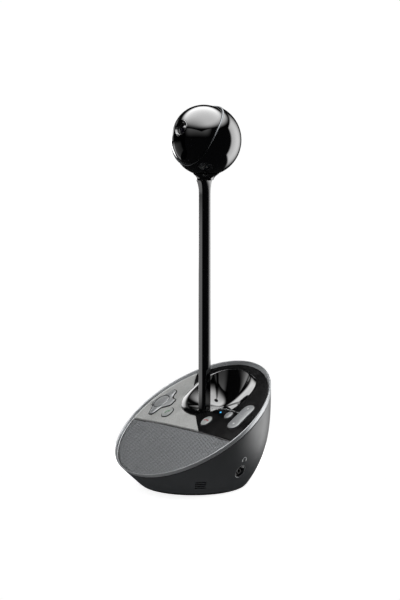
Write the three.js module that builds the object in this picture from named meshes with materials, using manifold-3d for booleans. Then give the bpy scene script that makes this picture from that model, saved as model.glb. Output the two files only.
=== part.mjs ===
// A desktop conference camera: a sloping loudspeaker base, a removable stalk and a ball head
// that pans and tilts.
// Millimetres, +Z up. The origin is the centre of the footprint, on the table. The front is -Y.
import * as THREE from "three";
import { mergeVertices } from "three/addons/utils/BufferGeometryUtils.js";
import Module from "manifold-3d";

const wasm = await Module();
wasm.setup();

// ---------- driving dimensions ----------
const GAP = 0.35; // clearance between pieces that touch on the real object
const TILT = THREE.MathUtils.degToRad(30.7); // slope of the face
const FACE_Z = 67.4; // height of the face on the vertical centre line
const RIM_R = 79.9; // plan radius of the body's top edge
const RIM_WIDTH = 2.3; // plan width of the rim's chamfer
const FACE_R = RIM_R - RIM_WIDTH; // plan radius where that chamfer meets the face
const RIM_RISE = 2.8; // how far the top edge stands above the face
const FOOT_R = 54.5; // plan radius of the body at the table
const FOOT_Y = 1.1; // the bottom circle sits this far behind the rim's centre
const FOOT_H = 2.2; // height of the rubber foot ring
const WALL = 3.0; // wall of the base shell, measured level
const SEAM_DEPTH = 5.2; // depth of the seam under the top edge at the sides
const SEAM_SWING = 2.1; // how much deeper it is behind and shallower in front
const PANEL_T = 1.8; // face panels, measured vertically
const DECK_T = 2.0; // inner deck under the panels
const DECK_GAP = 0.4; // between panels and deck

const CHORD_V = -15; // upper edge of the grille, up the slope from the rim's centre
const CHORD_SAG = 2.8; // that edge's sag at its two ends
const CHORD_REACH = 74; // half width over which the sag is reached
const SPEAKER_V = -49; // centre of the loudspeaker, up the slope
const SPEAKER_R = 23; // loudspeaker frame

const BOWL_A = 40.5; // half width of the cradle's outer lip
const BOWL_B = 38; // half length of that lip, along the slope
const BOWL_V = 42; // centre of the cradle, up the slope
const BOWL_POWER = 2.4; // squareness of the lip's outline
const CREST_A = 31; // half width of the crest of the lip
const CREST_B = 34.6; // half length of the crest
const CREST_V = 42.6; // centre of the crest
const CREST_RISE = 2.6; // the crest stands this far above the face
const FLOOR_Z = FACE_Z + 4; // lowest point of the cradle
const FLOOR_POWER = 2.4; // how flat the cradle's floor is before its wall turns up
const BOWL_T = 2.0; // wall of the cradle

const STALK_Y = 16.5; // axis of the stalk
const STALK_W = 10.3; // stalk section across
const STALK_D = 10.8; // stalk section fore and aft
const STALK_CORNER = 3.2;
const STALK_WALL = 1.7;
const STALK_BOTTOM = FLOOR_Z - 1.5; // where the stalk stands on its socket
const STALK_LENGTH = 240.2;
const STALK_TOP = STALK_BOTTOM + STALK_LENGTH; // seam between the stalk and the neck
const PLUG_INSET = 0.7; // the plug's side inside the stalk's side
const PLUG_LENGTH = 20;

const BALL_R = 33.9; // ball radius about the tilt axis
const BALL_X = BALL_R - 0.9; // half width of the ball along the tilt axis
const BALL_WALL = 1.6;
const CUP_R = BALL_R + 2;
const CUP_X = CUP_R - 0.5;
const CUP_CLEAR = 0.45; // between ball and cup
const NECK_LENGTH = 6.9;
const NECK_TOP = STALK_TOP + NECK_LENGTH; // where the neck meets the cup
const NECK_BOTTOM_R = 8.7;
const NECK_TOP_R = NECK_BOTTOM_R + 4.6;
const PAN_CLEAR = 0.7; // between the neck and the cup's facets, which pass over it as the head pans
// Centre of the cup's outside, and the pan axis.
const CUP = new THREE.Vector3(0, STALK_Y + 2.1, NECK_TOP + CUP_R - 2.3);
// Centre of the tilting ball.
const BALL = new THREE.Vector3(0, CUP.y - 3.2, CUP.z + 1.5);
const RIM_ARC_Y = CUP.y + 1.351 * CUP_R; // axis of the round cut that shapes the cup's rim, behind the ball
const RIM_ARC_Z = CUP.z - 0.869 * CUP_R;
const RIM_ARC_R = 2.072 * CUP_R;
const LENS_UP = THREE.MathUtils.degToRad(19); // the lens looks up by this much at rest
const LENS_R = 5.6; // lens barrel
const LENS_RING_R = 8.6;

const TAN = Math.tan(TILT);
const COS = Math.cos(TILT);
const WIDE = 200; // larger than any piece it is cut against
const BODY_STEPS = 44; // facets round the base
const HEAD_STEPS = 28; // facets round the head

const FINISH = {
  body: { color: 0x3b3c3d, roughness: 0.5, metalness: 0.1 },
  rim: { color: 0x77797a, roughness: 0.35, metalness: 0.4 },
  grille: { color: 0x58595a, roughness: 0.55, metalness: 0.6 },
  silver: { color: 0xb9bab8, roughness: 0.4, metalness: 0.3 },
  gloss: { color: 0x0a0a0b, roughness: 0.08, metalness: 0 },
  black: { color: 0x121213, roughness: 0.5, metalness: 0 },
  keys: { color: 0x7d7f80, roughness: 0.4, metalness: 0.2 },
  paleKeys: { color: 0xc4c6c5, roughness: 0.4, metalness: 0 },
  rubber: { color: 0x0d0d0d, roughness: 0.9, metalness: 0 },
  steel: { color: 0x9a9c9e, roughness: 0.35, metalness: 0.9 },
  brass: { color: 0xb08d3c, roughness: 0.35, metalness: 0.9 },
  paper: { color: 0x1b1b1c, roughness: 0.85, metalness: 0 },
  board: { color: 0x14402a, roughness: 0.55, metalness: 0 },
  glass: { color: 0x10141c, roughness: 0.03, metalness: 0 },
  light: { color: 0x2aa6e8, roughness: 0.3, metalness: 0 },
};
const FINISHES = Object.fromEntries(
  Object.entries(FINISH).map(([name, values]) => [name, new THREE.MeshStandardMaterial(values)]),
);

const root = new THREE.Group();

// ---------- solids ----------
function geometryOf(points, triangles) {
  const geometry = new THREE.BufferGeometry();
  const values = points.flatMap((p) => [p.x, p.y, p.z]);
  geometry.setAttribute("position", new THREE.Float32BufferAttribute(values, 3));
  geometry.setIndex(triangles);
  return geometry;
}

function solidOf(geometry, matrix = new THREE.Matrix4()) {
  const bare = geometry.clone().applyMatrix4(matrix);
  bare.deleteAttribute("normal");
  bare.deleteAttribute("uv");
  const merged = mergeVertices(bare, 1e-4);
  return new wasm.Manifold(
    new wasm.Mesh({
      numProp: 3,
      vertProperties: merged.attributes.position.array,
      triVerts: new Uint32Array(merged.index.array),
    }),
  );
}

function geometryFrom(solid) {
  const mesh = solid.getMesh();
  const geometry = new THREE.BufferGeometry();
  geometry.setAttribute("position", new THREE.BufferAttribute(new Float32Array(mesh.vertProperties), 3));
  geometry.setIndex(new THREE.BufferAttribute(new Uint32Array(mesh.triVerts), 1));
  return geometry;
}

function add(name, shape, finish) {
  const geometry = shape instanceof THREE.BufferGeometry ? shape : geometryFrom(shape);
  const flat = geometry.index ? geometry.toNonIndexed() : geometry;
  flat.computeVertexNormals();
  const mesh = new THREE.Mesh(flat, FINISHES[finish]);
  mesh.name = name;
  root.add(mesh);
  return mesh;
}

// A profile carried once round the Z axis: profileAt(angle) gives its points, counter-clockwise
// seen from the left.
// A closed profile makes a ring; an open one starts and ends on one point each, which every angle shares.
function around(profileAt, steps, closed) {
  const turns = Array.from({ length: steps }, (_, i) => profileAt((2 * Math.PI * i) / steps));
  const count = turns[0].length;
  const points = [];
  const rows = turns.map((profile, i) =>
    profile.map((p, k) => {
      const shared = !closed && (k === 0 || k === count - 1);
      if (shared && i > 0) return null;
      points.push(p);
      return points.length - 1;
    }),
  );
  rows.forEach((row) => row.forEach((index, k) => (row[k] = index ?? rows[0][k])));
  const triangles = [];
  const last = closed ? count : count - 1;
  for (let i = 0; i < steps; i++) {
    for (let k = 0; k < last; k++) {
      const a = rows[i][k];
      const b = rows[(i + 1) % steps][k];
      const c = rows[(i + 1) % steps][(k + 1) % count];
      const d = rows[i][(k + 1) % count];
      if (a !== b) triangles.push(a, b, c);
      if (c !== d) triangles.push(a, c, d);
    }
  }
  return geometryOf(points, triangles);
}

function polar(radius, angle, z, y = 0) {
  return new THREE.Vector3(radius * Math.cos(angle), y + radius * Math.sin(angle), z);
}

// A solid between closed outlines of equal point count, stacked one on the next, with flat ends.
function stack(outlines) {
  const count = outlines[0].length;
  const points = outlines.flat();
  const triangles = [];
  for (let i = 0; i + 1 < outlines.length; i++) {
    for (let k = 0; k < count; k++) {
      const a = i * count + k;
      const b = i * count + ((k + 1) % count);
      triangles.push(a, b, b + count, a, b + count, a + count);
    }
  }
  const flat = outlines.map((o) => o.map((p) => new THREE.Vector2(p.x, p.y)));
  const top = (outlines.length - 1) * count;
  THREE.ShapeUtils.triangulateShape(flat[0], []).forEach(([a, b, c]) => triangles.push(a, c, b));
  THREE.ShapeUtils.triangulateShape(flat.at(-1), []).forEach(([a, b, c]) =>
    triangles.push(top + a, top + b, top + c),
  );
  return geometryOf(points, triangles);
}

function extrude(shape, low, high, curveSegments = 12) {
  const settings = { depth: high - low, bevelEnabled: false, curveSegments };
  return new THREE.ExtrudeGeometry(shape, settings).translate(0, 0, low);
}

function cylinder(radius, low, high, steps = 16) {
  return new THREE.CylinderGeometry(radius, radius, high - low, steps)
    .rotateX(Math.PI / 2)
    .translate(0, 0, (low + high) / 2);
}

function box(low, high) {
  const size = new THREE.Vector3().subVectors(high, low);
  const middle = new THREE.Vector3().addVectors(high, low).multiplyScalar(0.5);
  return new THREE.BoxGeometry(size.x, size.y, size.z).translate(middle.x, middle.y, middle.z);
}

function boxAt(x0, y0, z0, x1, y1, z1) {
  return box(new THREE.Vector3(x0, y0, z0), new THREE.Vector3(x1, y1, z1));
}

function lathe(profile, steps = 24) {
  const points = profile.map(([radius, z]) => new THREE.Vector2(radius, z));
  return new THREE.LatheGeometry(points, steps).rotateX(Math.PI / 2);
}

function shapeOf(points) {
  return new THREE.Shape(points.map(([x, y]) => new THREE.Vector2(x, y)));
}

function roundedRect(width, depth, corner, x = 0, y = 0) {
  const a = width / 2 - corner;
  const b = depth / 2 - corner;
  const shape = new THREE.Shape();
  shape.absarc(x + a, y + b, corner, 0, Math.PI / 2);
  shape.absarc(x - a, y + b, corner, Math.PI / 2, Math.PI);
  shape.absarc(x - a, y - b, corner, Math.PI, 1.5 * Math.PI);
  shape.absarc(x + a, y - b, corner, 1.5 * Math.PI, 2 * Math.PI);
  return shape;
}

function oval(width, height, x, y) {
  return new THREE.Shape().absellipse(x, y, width / 2, height / 2, 0, 2 * Math.PI);
}

// ---------- the sloping face ----------
// Face coordinates are x across, v up the slope and n out of the face.
const FACE = new THREE.Matrix4().makeRotationX(TILT).setPosition(0, 0, FACE_Z);
// Plan coordinates keep x and y, and a height measured from the face: the shear brings them onto the slope.
const SHEAR = new THREE.Matrix4().set(1, 0, 0, 0, 0, 1, 0, 0, 0, TAN, 1, FACE_Z, 0, 0, 0, 1);

const faceZ = (y) => FACE_Z + TAN * y;
const toPlan = ([x, v]) => [x, v * COS];
const onFace = (shape, low, high, steps) => solidOf(extrude(shape, low, high, steps), FACE);
const onPlan = (points, low, high) => solidOf(extrude(shapeOf(points.map(toPlan)), low, high), SHEAR);

const rimTop = (angle) => FACE_Z + RIM_RISE + TAN * RIM_R * Math.sin(angle);
const seamZ = (angle) => rimTop(angle) - SEAM_DEPTH - SEAM_SWING * Math.sin(angle);

// The body's outside: the level radius grows from the foot to the rim, almost straight in front,
// bulging behind.
function bodyPoint(angle, z, inset = 0) {
  const share = z / rimTop(angle);
  const power = 2.21 + 1.22 * Math.sin(angle);
  const radius = FOOT_R + (RIM_R - FOOT_R) * (1 - (1 - share) ** power);
  return polar(radius - inset, angle, z, FOOT_Y * (1 - share));
}

function superellipse(a, b, v, angle, grow = 0) {
  const bend = (value) => Math.sign(value) * Math.abs(value) ** (2 / BOWL_POWER);
  return toPlan([(a + grow) * bend(Math.cos(angle)), v + (b + grow) * bend(Math.sin(angle))]);
}

const chordV = (x) => CHORD_V - CHORD_SAG * (x / CHORD_REACH) ** 2;
function chord(from, to, lift, steps = 10) {
  return Array.from({ length: steps + 1 }, (_, i) => {
    const x = from + ((to - from) * i) / steps;
    return [x, chordV(x) + lift];
  });
}

// ---------- base ----------
function baseShell() {
  const WALL_ROWS = 6;
  const profile = (angle) => {
    const top = seamZ(angle) - GAP;
    const step = (top - FOOT_H) / WALL_ROWS;
    const heights = Array.from({ length: WALL_ROWS + 1 }, (_, i) => FOOT_H + step * i);
    const outside = heights.map((z) => bodyPoint(angle, z));
    const inside = heights.map((z) => bodyPoint(angle, z, WALL)).reverse();
    return [...outside, ...inside];
  };
  return solidOf(around(profile, BODY_STEPS, true));
}

const JACK = { y: 0.7, z: 23.9, r: 6.6, depth: 5, length: 12, collar: 2.9, collarUp: 2.6, bore: 1.75 };
const PORT = { w: 34, low: 8, high: 18, depth: 5 };
const MIC = { angle: THREE.MathUtils.degToRad(-36), z: 13, w: 11, pitch: 2.3, slot: 1.1, rows: 4, r: 4.2 };
const jackX = bodyPoint(0, JACK.z).x;
const portY = bodyPoint(Math.PI / 2, (PORT.low + PORT.high) / 2).y;

// The wall leans out upwards, so the capsule's lower edge meets it first, this far in.
const MIC_CLEAR = 0.6; // between the capsule's lower edge and the wall, which curves round it
const plan = (point) => point.setZ(0);
const micLean = plan(bodyPoint(MIC.angle, MIC.z)).distanceTo(plan(bodyPoint(MIC.angle, MIC.z - MIC.r)));
function micMatrix() {
  const centre = bodyPoint(MIC.angle, MIC.z);
  return new THREE.Matrix4().makeRotationZ(MIC.angle).setPosition(centre);
}

const jackHole = solidOf(
  cylinder(JACK.r, -WALL - 8, 8).rotateY(Math.PI / 2).translate(jackX, JACK.y, JACK.z),
);
const portHole = solidOf(
  boxAt(-PORT.w / 2, portY - WALL - 9, PORT.low, PORT.w / 2, portY + WALL + 9, PORT.high),
);
let shell = baseShell().subtract(jackHole).subtract(portHole);
for (let row = 0; row < MIC.rows; row++) {
  const z = (row - (MIC.rows - 1) / 2) * MIC.pitch;
  const slot = boxAt(-8, -MIC.w / 2, z - MIC.slot / 2, 8, MIC.w / 2, z + MIC.slot / 2);
  shell = shell.subtract(solidOf(slot, micMatrix()));
}
add("base_shell", shell, "body");

const SEAT_IN = 3.4; // the rim's inner seat slopes in by this much
const SEAT_DOWN = 2.0;
const LEDGE_R = RIM_R - 7.4; // inner edge of the rim piece
const LEDGE_DOWN = 3.9;
add(
  "bezel_ring",
  around(
    (angle) => {
      const low = bodyPoint(angle, seamZ(angle));
      const lowIn = bodyPoint(angle, seamZ(angle), WALL + GAP);
      const up = bodyPoint(angle, (seamZ(angle) + rimTop(angle)) / 2);
      const rise = (radius, height) => polar(radius, angle, faceZ(radius * Math.sin(angle)) + height);
      return [
        low,
        up,
        rise(RIM_R, RIM_RISE),
        rise(FACE_R, 0),
        rise(FACE_R - SEAT_IN, -SEAT_DOWN),
        rise(LEDGE_R, -LEDGE_DOWN),
        lowIn,
      ];
    },
    BODY_STEPS,
    true,
  ),
  "rim",
);

const PLATE_R = FOOT_R - WALL - GAP;
const SCREW_R = 40; // circle of the four bottom screws
const SCREW = { head: 3.0, headH: 1.6, shank: 1.4, length: 9 };
const PLATE_LOW = 1.2;
const PLATE_HIGH = 3.6;
const screwPlaces = [45, 135, 225, 315].map((turn) =>
  polar(SCREW_R, THREE.MathUtils.degToRad(turn), 0, FOOT_Y),
);

add(
  "foot_ring",
  solidOf(cylinder(FOOT_R, 0, FOOT_H - GAP, BODY_STEPS).translate(0, FOOT_Y, 0)).subtract(
    solidOf(cylinder(PLATE_R + GAP, -1, FOOT_H + 1, BODY_STEPS).translate(0, FOOT_Y, 0)),
  ),
  "rubber",
);

let plate = solidOf(cylinder(PLATE_R, PLATE_LOW, PLATE_HIGH, BODY_STEPS).translate(0, FOOT_Y, 0));
const BALLAST = { r: 30, low: PLATE_HIGH + GAP, high: PLATE_HIGH + 5 };
screwPlaces.forEach((place, i) => {
  const at = new THREE.Matrix4().setPosition(place);
  plate = plate
    .subtract(solidOf(cylinder(SCREW.shank + GAP, -1, PLATE_HIGH + 1), at))
    .subtract(solidOf(cylinder(SCREW.head + GAP, -1, PLATE_LOW + SCREW.headH / 2), at));
  const head = solidOf(cylinder(SCREW.head, PLATE_LOW - GAP, PLATE_LOW + SCREW.headH / 2 - GAP), at);
  const shank = solidOf(cylinder(SCREW.shank, PLATE_LOW, PLATE_LOW + SCREW.length, 16), at);
  add(`bottom_screw_${i + 1}`, head.add(shank), "steel");
});
add("bottom_plate", plate, "black");
add("ballast_weight", cylinder(BALLAST.r, BALLAST.low, BALLAST.high, 40).translate(0, FOOT_Y, 0), "steel");

// ---------- face panels ----------
const plug = (inset, low, high) =>
  solidOf(
    lathe([[0, low], [FACE_R - inset - SEAT_IN, low], [FACE_R - inset, high], [0, high]], BODY_STEPS),
    SHEAR,
  );
const seatPlug = plug(GAP + 0.05, -PANEL_T, 0);

const CORNER_X = 22.8; // where the silver and black panels meet at the grille
const DIAGONAL = [[CORNER_X, chordV(CORNER_X)], [14.4, -8], [7.1, -1.6], [1.4, 3.7], [-3.2, 5.4]];
const V_EDGE = [[-3.2, 5.4], [4.1, 9], [14.4, 14.1], [20.5, 20.5]];
const TRIM_END_V = 20.2; // the trim runs level from here to the rim
const TRIM = [
  [20.5, 20.5], [33.3, 21.2], [40.8, 21], [47.8, 19.7], [53.2, TRIM_END_V], [70, TRIM_END_V],
  [WIDE, TRIM_END_V],
];
const TRIM_W = 1.1; // bright strip between the two black panels
const SILVER_BACK = [
  [-38, 40], [-40.2, 43.4], [-43.6, 47.9], [-48.9, 55.5], [-52.5, 61.9], [-54, 72], [-WIDE / 2, WIDE],
];
const move = (points, x, v) => points.map(([px, pv]) => [px + x, pv + v]);

const bowlOutline = (grow) =>
  Array.from({ length: BODY_STEPS }, (_, i) =>
    superellipse(BOWL_A, BOWL_B, BOWL_V, (2 * Math.PI * i) / BODY_STEPS, grow),
  );
const bowlPrism = (grow) => solidOf(extrude(shapeOf(bowlOutline(grow)), -WIDE, WIDE), SHEAR);

const silverRegion = onPlan(
  [...chord(-WIDE / 2, CORNER_X - GAP, GAP), ...move(DIAGONAL.slice(1), -GAP, 0), ...SILVER_BACK],
  -PANEL_T - 1,
  1,
);
const keyRegion = onPlan(
  [
    ...chord(CORNER_X, WIDE / 2, GAP),
    ...TRIM.slice(0, -1).reverse(),
    ...V_EDGE.slice(0, -1).reverse(),
    ...DIAGONAL.slice(1, -1).reverse(),
  ],
  -PANEL_T - 1,
  1,
);
const rearRegion = onPlan(
  [
    ...move(TRIM, 0, TRIM_W + 2 * GAP),
    [WIDE, WIDE],
    [-WIDE / 2, WIDE],
    ...move(SILVER_BACK.slice(0, -1).reverse(), GAP, GAP),
  ],
  -PANEL_T - 1,
  1,
);
const grilleRegion = onPlan(
  [[-WIDE / 2, -WIDE], [WIDE / 2, -WIDE], ...chord(WIDE / 2, -WIDE / 2, -GAP)],
  -PANEL_T - 1,
  1,
);

// ---------- keys ----------
const KEY_UP = 1.3; // keys stand this far out of the face
const KEY_DOWN = 3.0; // and reach this far under it
const KEY_GAP = 0.4;
const DPAD_OUTLINE = [
  [-61.8, -6.4], [-58.1, -7.8], [-55.7, -5.3], [-53.3, 3.6], [-48.8, 7.2], [-44.7, 11.3], [-45.4, 19.4],
  [-50, 21.2], [-53.1, 24], [-55.4, 31.3], [-58.8, 33.2], [-61.9, 32.3], [-65.7, 22.9], [-68.6, 19.2],
  [-70.6, 15.2], [-70.9, 9.6], [-69.6, 6.4], [-66.9, 4.4], [-63.7, -1.8],
];
const DPAD_STEPS = 44;
function dpadShape(grow) {
  const curve = new THREE.CatmullRomCurve3(DPAD_OUTLINE.map(([x, v]) => new THREE.Vector3(x, v, 0)), true);
  const points = curve.getSpacedPoints(DPAD_STEPS).slice(0, -1);
  const outward = points.map((p, i) => {
    const next = points[(i + 1) % points.length];
    const before = points.at(i - 1);
    return new THREE.Vector2(next.y - before.y, before.x - next.x).normalize();
  });
  return new THREE.Shape(outward.map((way, i) => way.multiplyScalar(grow).add(points[i])));
}
const DPAD = { x: -58.6, v: 12.7 };
const CENTRE_KEY = { w: 15, h: 19, x: -61, v: 13 };
const ANSWER = { w: 11, h: 14, x: -39, v: 0 };
const HANG_UP = { w: 10.5, h: 13.7, x: 21, v: 0 };
const MUTE = { w: 8.5, h: 10, x: 40.7, v: 14.1 };
const VOLUME = { w: 13.5, h: 36.5, x: 57.6, v: 15.3 };
const LED = { r: 1.0, x: 27, v: 16 };
const keyOval = (key, grow = 0) => oval(key.w + 2 * grow, key.h + 2 * grow, key.x, key.v);
const volumeShape = (grow) =>
  roundedRect(VOLUME.w + 2 * grow, VOLUME.h + 2 * grow, VOLUME.w / 2 + grow - 0.01, VOLUME.x, VOLUME.v);
const hole = (shape, steps = 8) => onFace(shape, -KEY_DOWN - 9, KEY_UP + 2, steps);

const dpadHole = hole(dpadShape(KEY_GAP));
const answerHole = hole(keyOval(ANSWER, KEY_GAP));
const hangUpHole = hole(keyOval(HANG_UP, KEY_GAP));
const muteHole = hole(keyOval(MUTE, KEY_GAP));
const volumeHole = hole(volumeShape(KEY_GAP), 6);
const ledOval = (clear) => oval(2 * (LED.r + clear), 2 * (LED.r + clear), LED.x, LED.v);
const ledHole = onFace(ledOval(0.2), -12, 3, 4);

const panel = (region, ...holes) =>
  holes.reduce((left, opening) => left.subtract(opening), seatPlug.intersect(region));
add("silver_panel", panel(silverRegion, bowlPrism(GAP), dpadHole, answerHole), "silver");
add("key_panel", panel(keyRegion, hangUpHole, muteHole, volumeHole, ledHole), "gloss");
add("rear_panel", panel(rearRegion, bowlPrism(GAP), volumeHole), "gloss");
add("speaker_grille", seatPlug.intersect(grilleRegion), "grille");

const TRIM_END = VOLUME.x - VOLUME.w / 2 - KEY_GAP - GAP;
const trimLine = [...TRIM.filter(([x]) => x < TRIM_END), [TRIM_END, TRIM_END_V - 0.3]];
const TRIM_UP = 0.25; // the strip stands a little proud
const trimStrip = onPlan(
  [...move(trimLine, 0, GAP), ...move(trimLine, 0, GAP + TRIM_W).reverse()],
  -PANEL_T,
  TRIM_UP,
);
add("trim_strip", trimStrip, "steel");

const keyFlange = (shape) => onFace(shape, -KEY_DOWN, KEY_UP, 8);
const centreHole = onFace(keyOval(CENTRE_KEY, 0.3), -1.2, KEY_UP + 1, 8);
const STEM = { r: 3.5, up: -1.4 - GAP };
const stemOval = (clear) => oval(2 * (STEM.r + clear), 2 * (STEM.r + clear), DPAD.x, DPAD.v);
const stemHole = onFace(stemOval(0.5), -KEY_DOWN - 1, STEM.up + GAP, 8);
add("dpad_key", keyFlange(dpadShape(0)).subtract(centreHole).subtract(stemHole), "keys");
add("dpad_stem", onFace(stemOval(0), -PANEL_T - DECK_T - 4, STEM.up, 6), "black");
add("centre_key", onFace(keyOval(CENTRE_KEY), -0.5, KEY_UP + 0.5, 8), "keys");
add("answer_button", keyFlange(keyOval(ANSWER)), "paleKeys");
add("hangup_button", keyFlange(keyOval(HANG_UP)), "paleKeys");
add("mute_button", keyFlange(keyOval(MUTE)), "keys");
add("volume_rocker", onFace(volumeShape(0), -KEY_DOWN, KEY_UP, 6), "keys");
add("status_led", onFace(ledOval(0), -PANEL_T - DECK_T - 1.2, 0.1, 4), "light");

// ---------- cradle ----------
const CREST_Y = CREST_V * COS;
function cradle() {
  const INSIDE_ROWS = 6;
  const LIP_ROWS = 3;
  const profile = (angle) => {
    const [cx, cy] = superellipse(CREST_A, CREST_B, CREST_V, angle);
    const [fx, fy] = superellipse(BOWL_A, BOWL_B, BOWL_V, angle);
    const crestZ = faceZ(cy) + CREST_RISE;
    const inside = Array.from({ length: INSIDE_ROWS }, (_, i) => {
      const share = i / INSIDE_ROWS;
      const z = FLOOR_Z + (crestZ - FLOOR_Z) * share ** FLOOR_POWER;
      return new THREE.Vector3(cx * share, CREST_Y + (cy - CREST_Y) * share, z);
    });
    const lip = Array.from({ length: LIP_ROWS + 1 }, (_, i) => {
      const share = i / LIP_ROWS;
      const x = cx + (fx - cx) * share;
      const y = cy + (fy - cy) * share;
      return new THREE.Vector3(x, y, faceZ(y) + 0.1 + (CREST_RISE - 0.1) * Math.cos((share * Math.PI) / 2));
    });
    const under = [...inside.slice(1), lip[0]].map((p) => {
      const share = Math.hypot(p.x, p.y - CREST_Y) / Math.hypot(cx, cy - CREST_Y);
      const out = 1 + 0.04 * share * share;
      return new THREE.Vector3(p.x * out, CREST_Y + (p.y - CREST_Y) * out, p.z - BOWL_T);
    });
    const foot = new THREE.Vector3(fx, fy, faceZ(fy) - PANEL_T);
    const bottom = new THREE.Vector3(0, CREST_Y, FLOOR_Z - BOWL_T);
    return [bottom, ...under, foot, ...lip.reverse(), ...inside.reverse()];
  };
  return solidOf(around(profile, BODY_STEPS, false));
}
// The stalk's section, grown or shrunk all round by one distance.
const stalkSide = (grow) =>
  roundedRect(STALK_W + 2 * grow, STALK_D + 2 * grow, STALK_CORNER + grow, 0, STALK_Y);
const STALK_SLACK = 0.6; // between the stalk and the cradle's hole round it
const stalkHole = solidOf(
  extrude(stalkSide(STALK_SLACK), STALK_BOTTOM - 30, STALK_BOTTOM + 30, 4),
);
const keyCut = onPlan(
  [
    [8, -30],
    [WIDE, -30],
    ...move(TRIM, 0, TRIM_W + 2 * GAP).reverse(),
    ...move(V_EDGE, -0.2, 2 * GAP).reverse(),
    [-3.4, 5.2],
    [1.2, 3.4],
  ],
  -PANEL_T - GAP,
  20,
);
add("cradle_bowl", cradle().subtract(stalkHole).subtract(keyCut), "gloss");

// ---------- deck and what it carries ----------
const DECK_TOP = -PANEL_T - DECK_GAP;
const DECK_R = LEDGE_R - 2 * GAP;
const SPEAKER = new THREE.Matrix4().makeTranslation(0, SPEAKER_V, 0).premultiply(FACE);
const bowlWell = solidOf(extrude(shapeOf(bowlOutline(1.5)), -WIDE, WIDE), SHEAR);
const deckDisc = solidOf(cylinder(DECK_R, DECK_TOP - DECK_T, DECK_TOP, BODY_STEPS), SHEAR);
const FRONT_CUT = 14; // the deck stops this far behind the rim's front, over the sloping wall
const frontTrim = solidOf(boxAt(-WIDE, -WIDE, -WIDE, WIDE, FRONT_CUT - RIM_R, WIDE));
add(
  "inner_deck",
  deckDisc
    .subtract(bowlWell)
    .subtract(frontTrim)
    .subtract(solidOf(cylinder(SPEAKER_R - 2, -WIDE / 4, 5, 36), SPEAKER)) // the driver sounds through it
    .subtract(dpadHole)
    .subtract(answerHole)
    .subtract(hangUpHole)
    .subtract(muteHole)
    .subtract(volumeHole)
    .subtract(onFace(ledOval(1.5), -12, 3, 6)),
  "black",
);

const DRIVER_TOP = (DECK_TOP - DECK_T) * COS - GAP;
const rings = (profile, steps = 24) => solidOf(lathe([...profile, profile[0]], steps), SPEAKER);
const down = (z) => DRIVER_TOP + z;
add("speaker_basket", rings([
  [SPEAKER_R, down(0)], [SPEAKER_R - 3, down(0)], [SPEAKER_R - 3, down(-1.4)], [9, down(-9)], [8, down(-9)],
  [8, down(-11)], [10.5, down(-11)], [SPEAKER_R - 1, down(-2.2)], [SPEAKER_R, down(-2.2)],
]), "steel");
add("speaker_magnet", solidOf(cylinder(12, down(-19), down(-11 - GAP), 32), SPEAKER), "steel");
const CONE_EDGE = SPEAKER_R - 3 - GAP;
const coneProfile = [
  [0, down(-5.6)],
  [6, down(-7.2)],
  [CONE_EDGE - 4, down(-1.1)],
  [CONE_EDGE - 2, down(-0.1)],
  [CONE_EDGE, down(-0.7)],
  [CONE_EDGE, down(0)],
  [CONE_EDGE - 2, down(0.6)],
  [CONE_EDGE - 4, down(-0.4)],
  [6, down(-6.5)],
  [0, down(-5)],
];
add("speaker_cone", solidOf(lathe(coneProfile), SPEAKER), "paper");

const BOARD_T = 1.2;
const boardTop = -KEY_DOWN - 3.2; // boards hang under the keys' travel
const KEY_BOARD = { low: boardTop - BOARD_T, high: boardTop };
const socketZone = solidOf(boxAt(-12, STALK_Y - 12, 30, 12, STALK_Y + 12, 120));
const KEY_BOARD_OUTLINE = [[-52, -14], [65, -13], [65, 33], [50, 33], [44, 8], [-4, 2], [-52, 4]];
add(
  "key_board",
  onFace(shapeOf(KEY_BOARD_OUTLINE), KEY_BOARD.low, KEY_BOARD.high)
    .subtract(bowlWell)
    .subtract(socketZone),
  "board",
);
const MAIN_BOARD = { low: 20, high: 20 + BOARD_T };
add("main_board", boxAt(-30, 4, MAIN_BOARD.low, 30, 48, MAIN_BOARD.high), "board");

const SOCKET = { wall: 2.6, high: STALK_BOTTOM - GAP, low: STALK_BOTTOM - PLUG_LENGTH - 4 };
const plugSide = (grow) => stalkSide(grow - PLUG_INSET);
add(
  "stalk_socket",
  solidOf(extrude(plugSide(SOCKET.wall), SOCKET.low, SOCKET.high, 4)).subtract(
    solidOf(extrude(plugSide(GAP), SOCKET.low + 3, SOCKET.high + 1, 4)),
  ).subtract(cradle()),
  "black",
);

// ---------- sockets in the walls ----------
const jackFace = jackX - JACK.depth;
const jackRound = (radius, low, high) =>
  solidOf(cylinder(radius, low, high).rotateY(Math.PI / 2).translate(jackFace, JACK.y, JACK.z));
add(
  "headphone_jack",
  jackRound(JACK.r - GAP, -JACK.length, 0)
    .add(jackRound(JACK.collar, -1, JACK.collarUp))
    .subtract(jackRound(JACK.bore, 2 - JACK.length, JACK.collarUp + 1)),
  "black",
);
const portFace = portY - PORT.depth;
const PORT_Z = (PORT.low + PORT.high) / 2;
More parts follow.
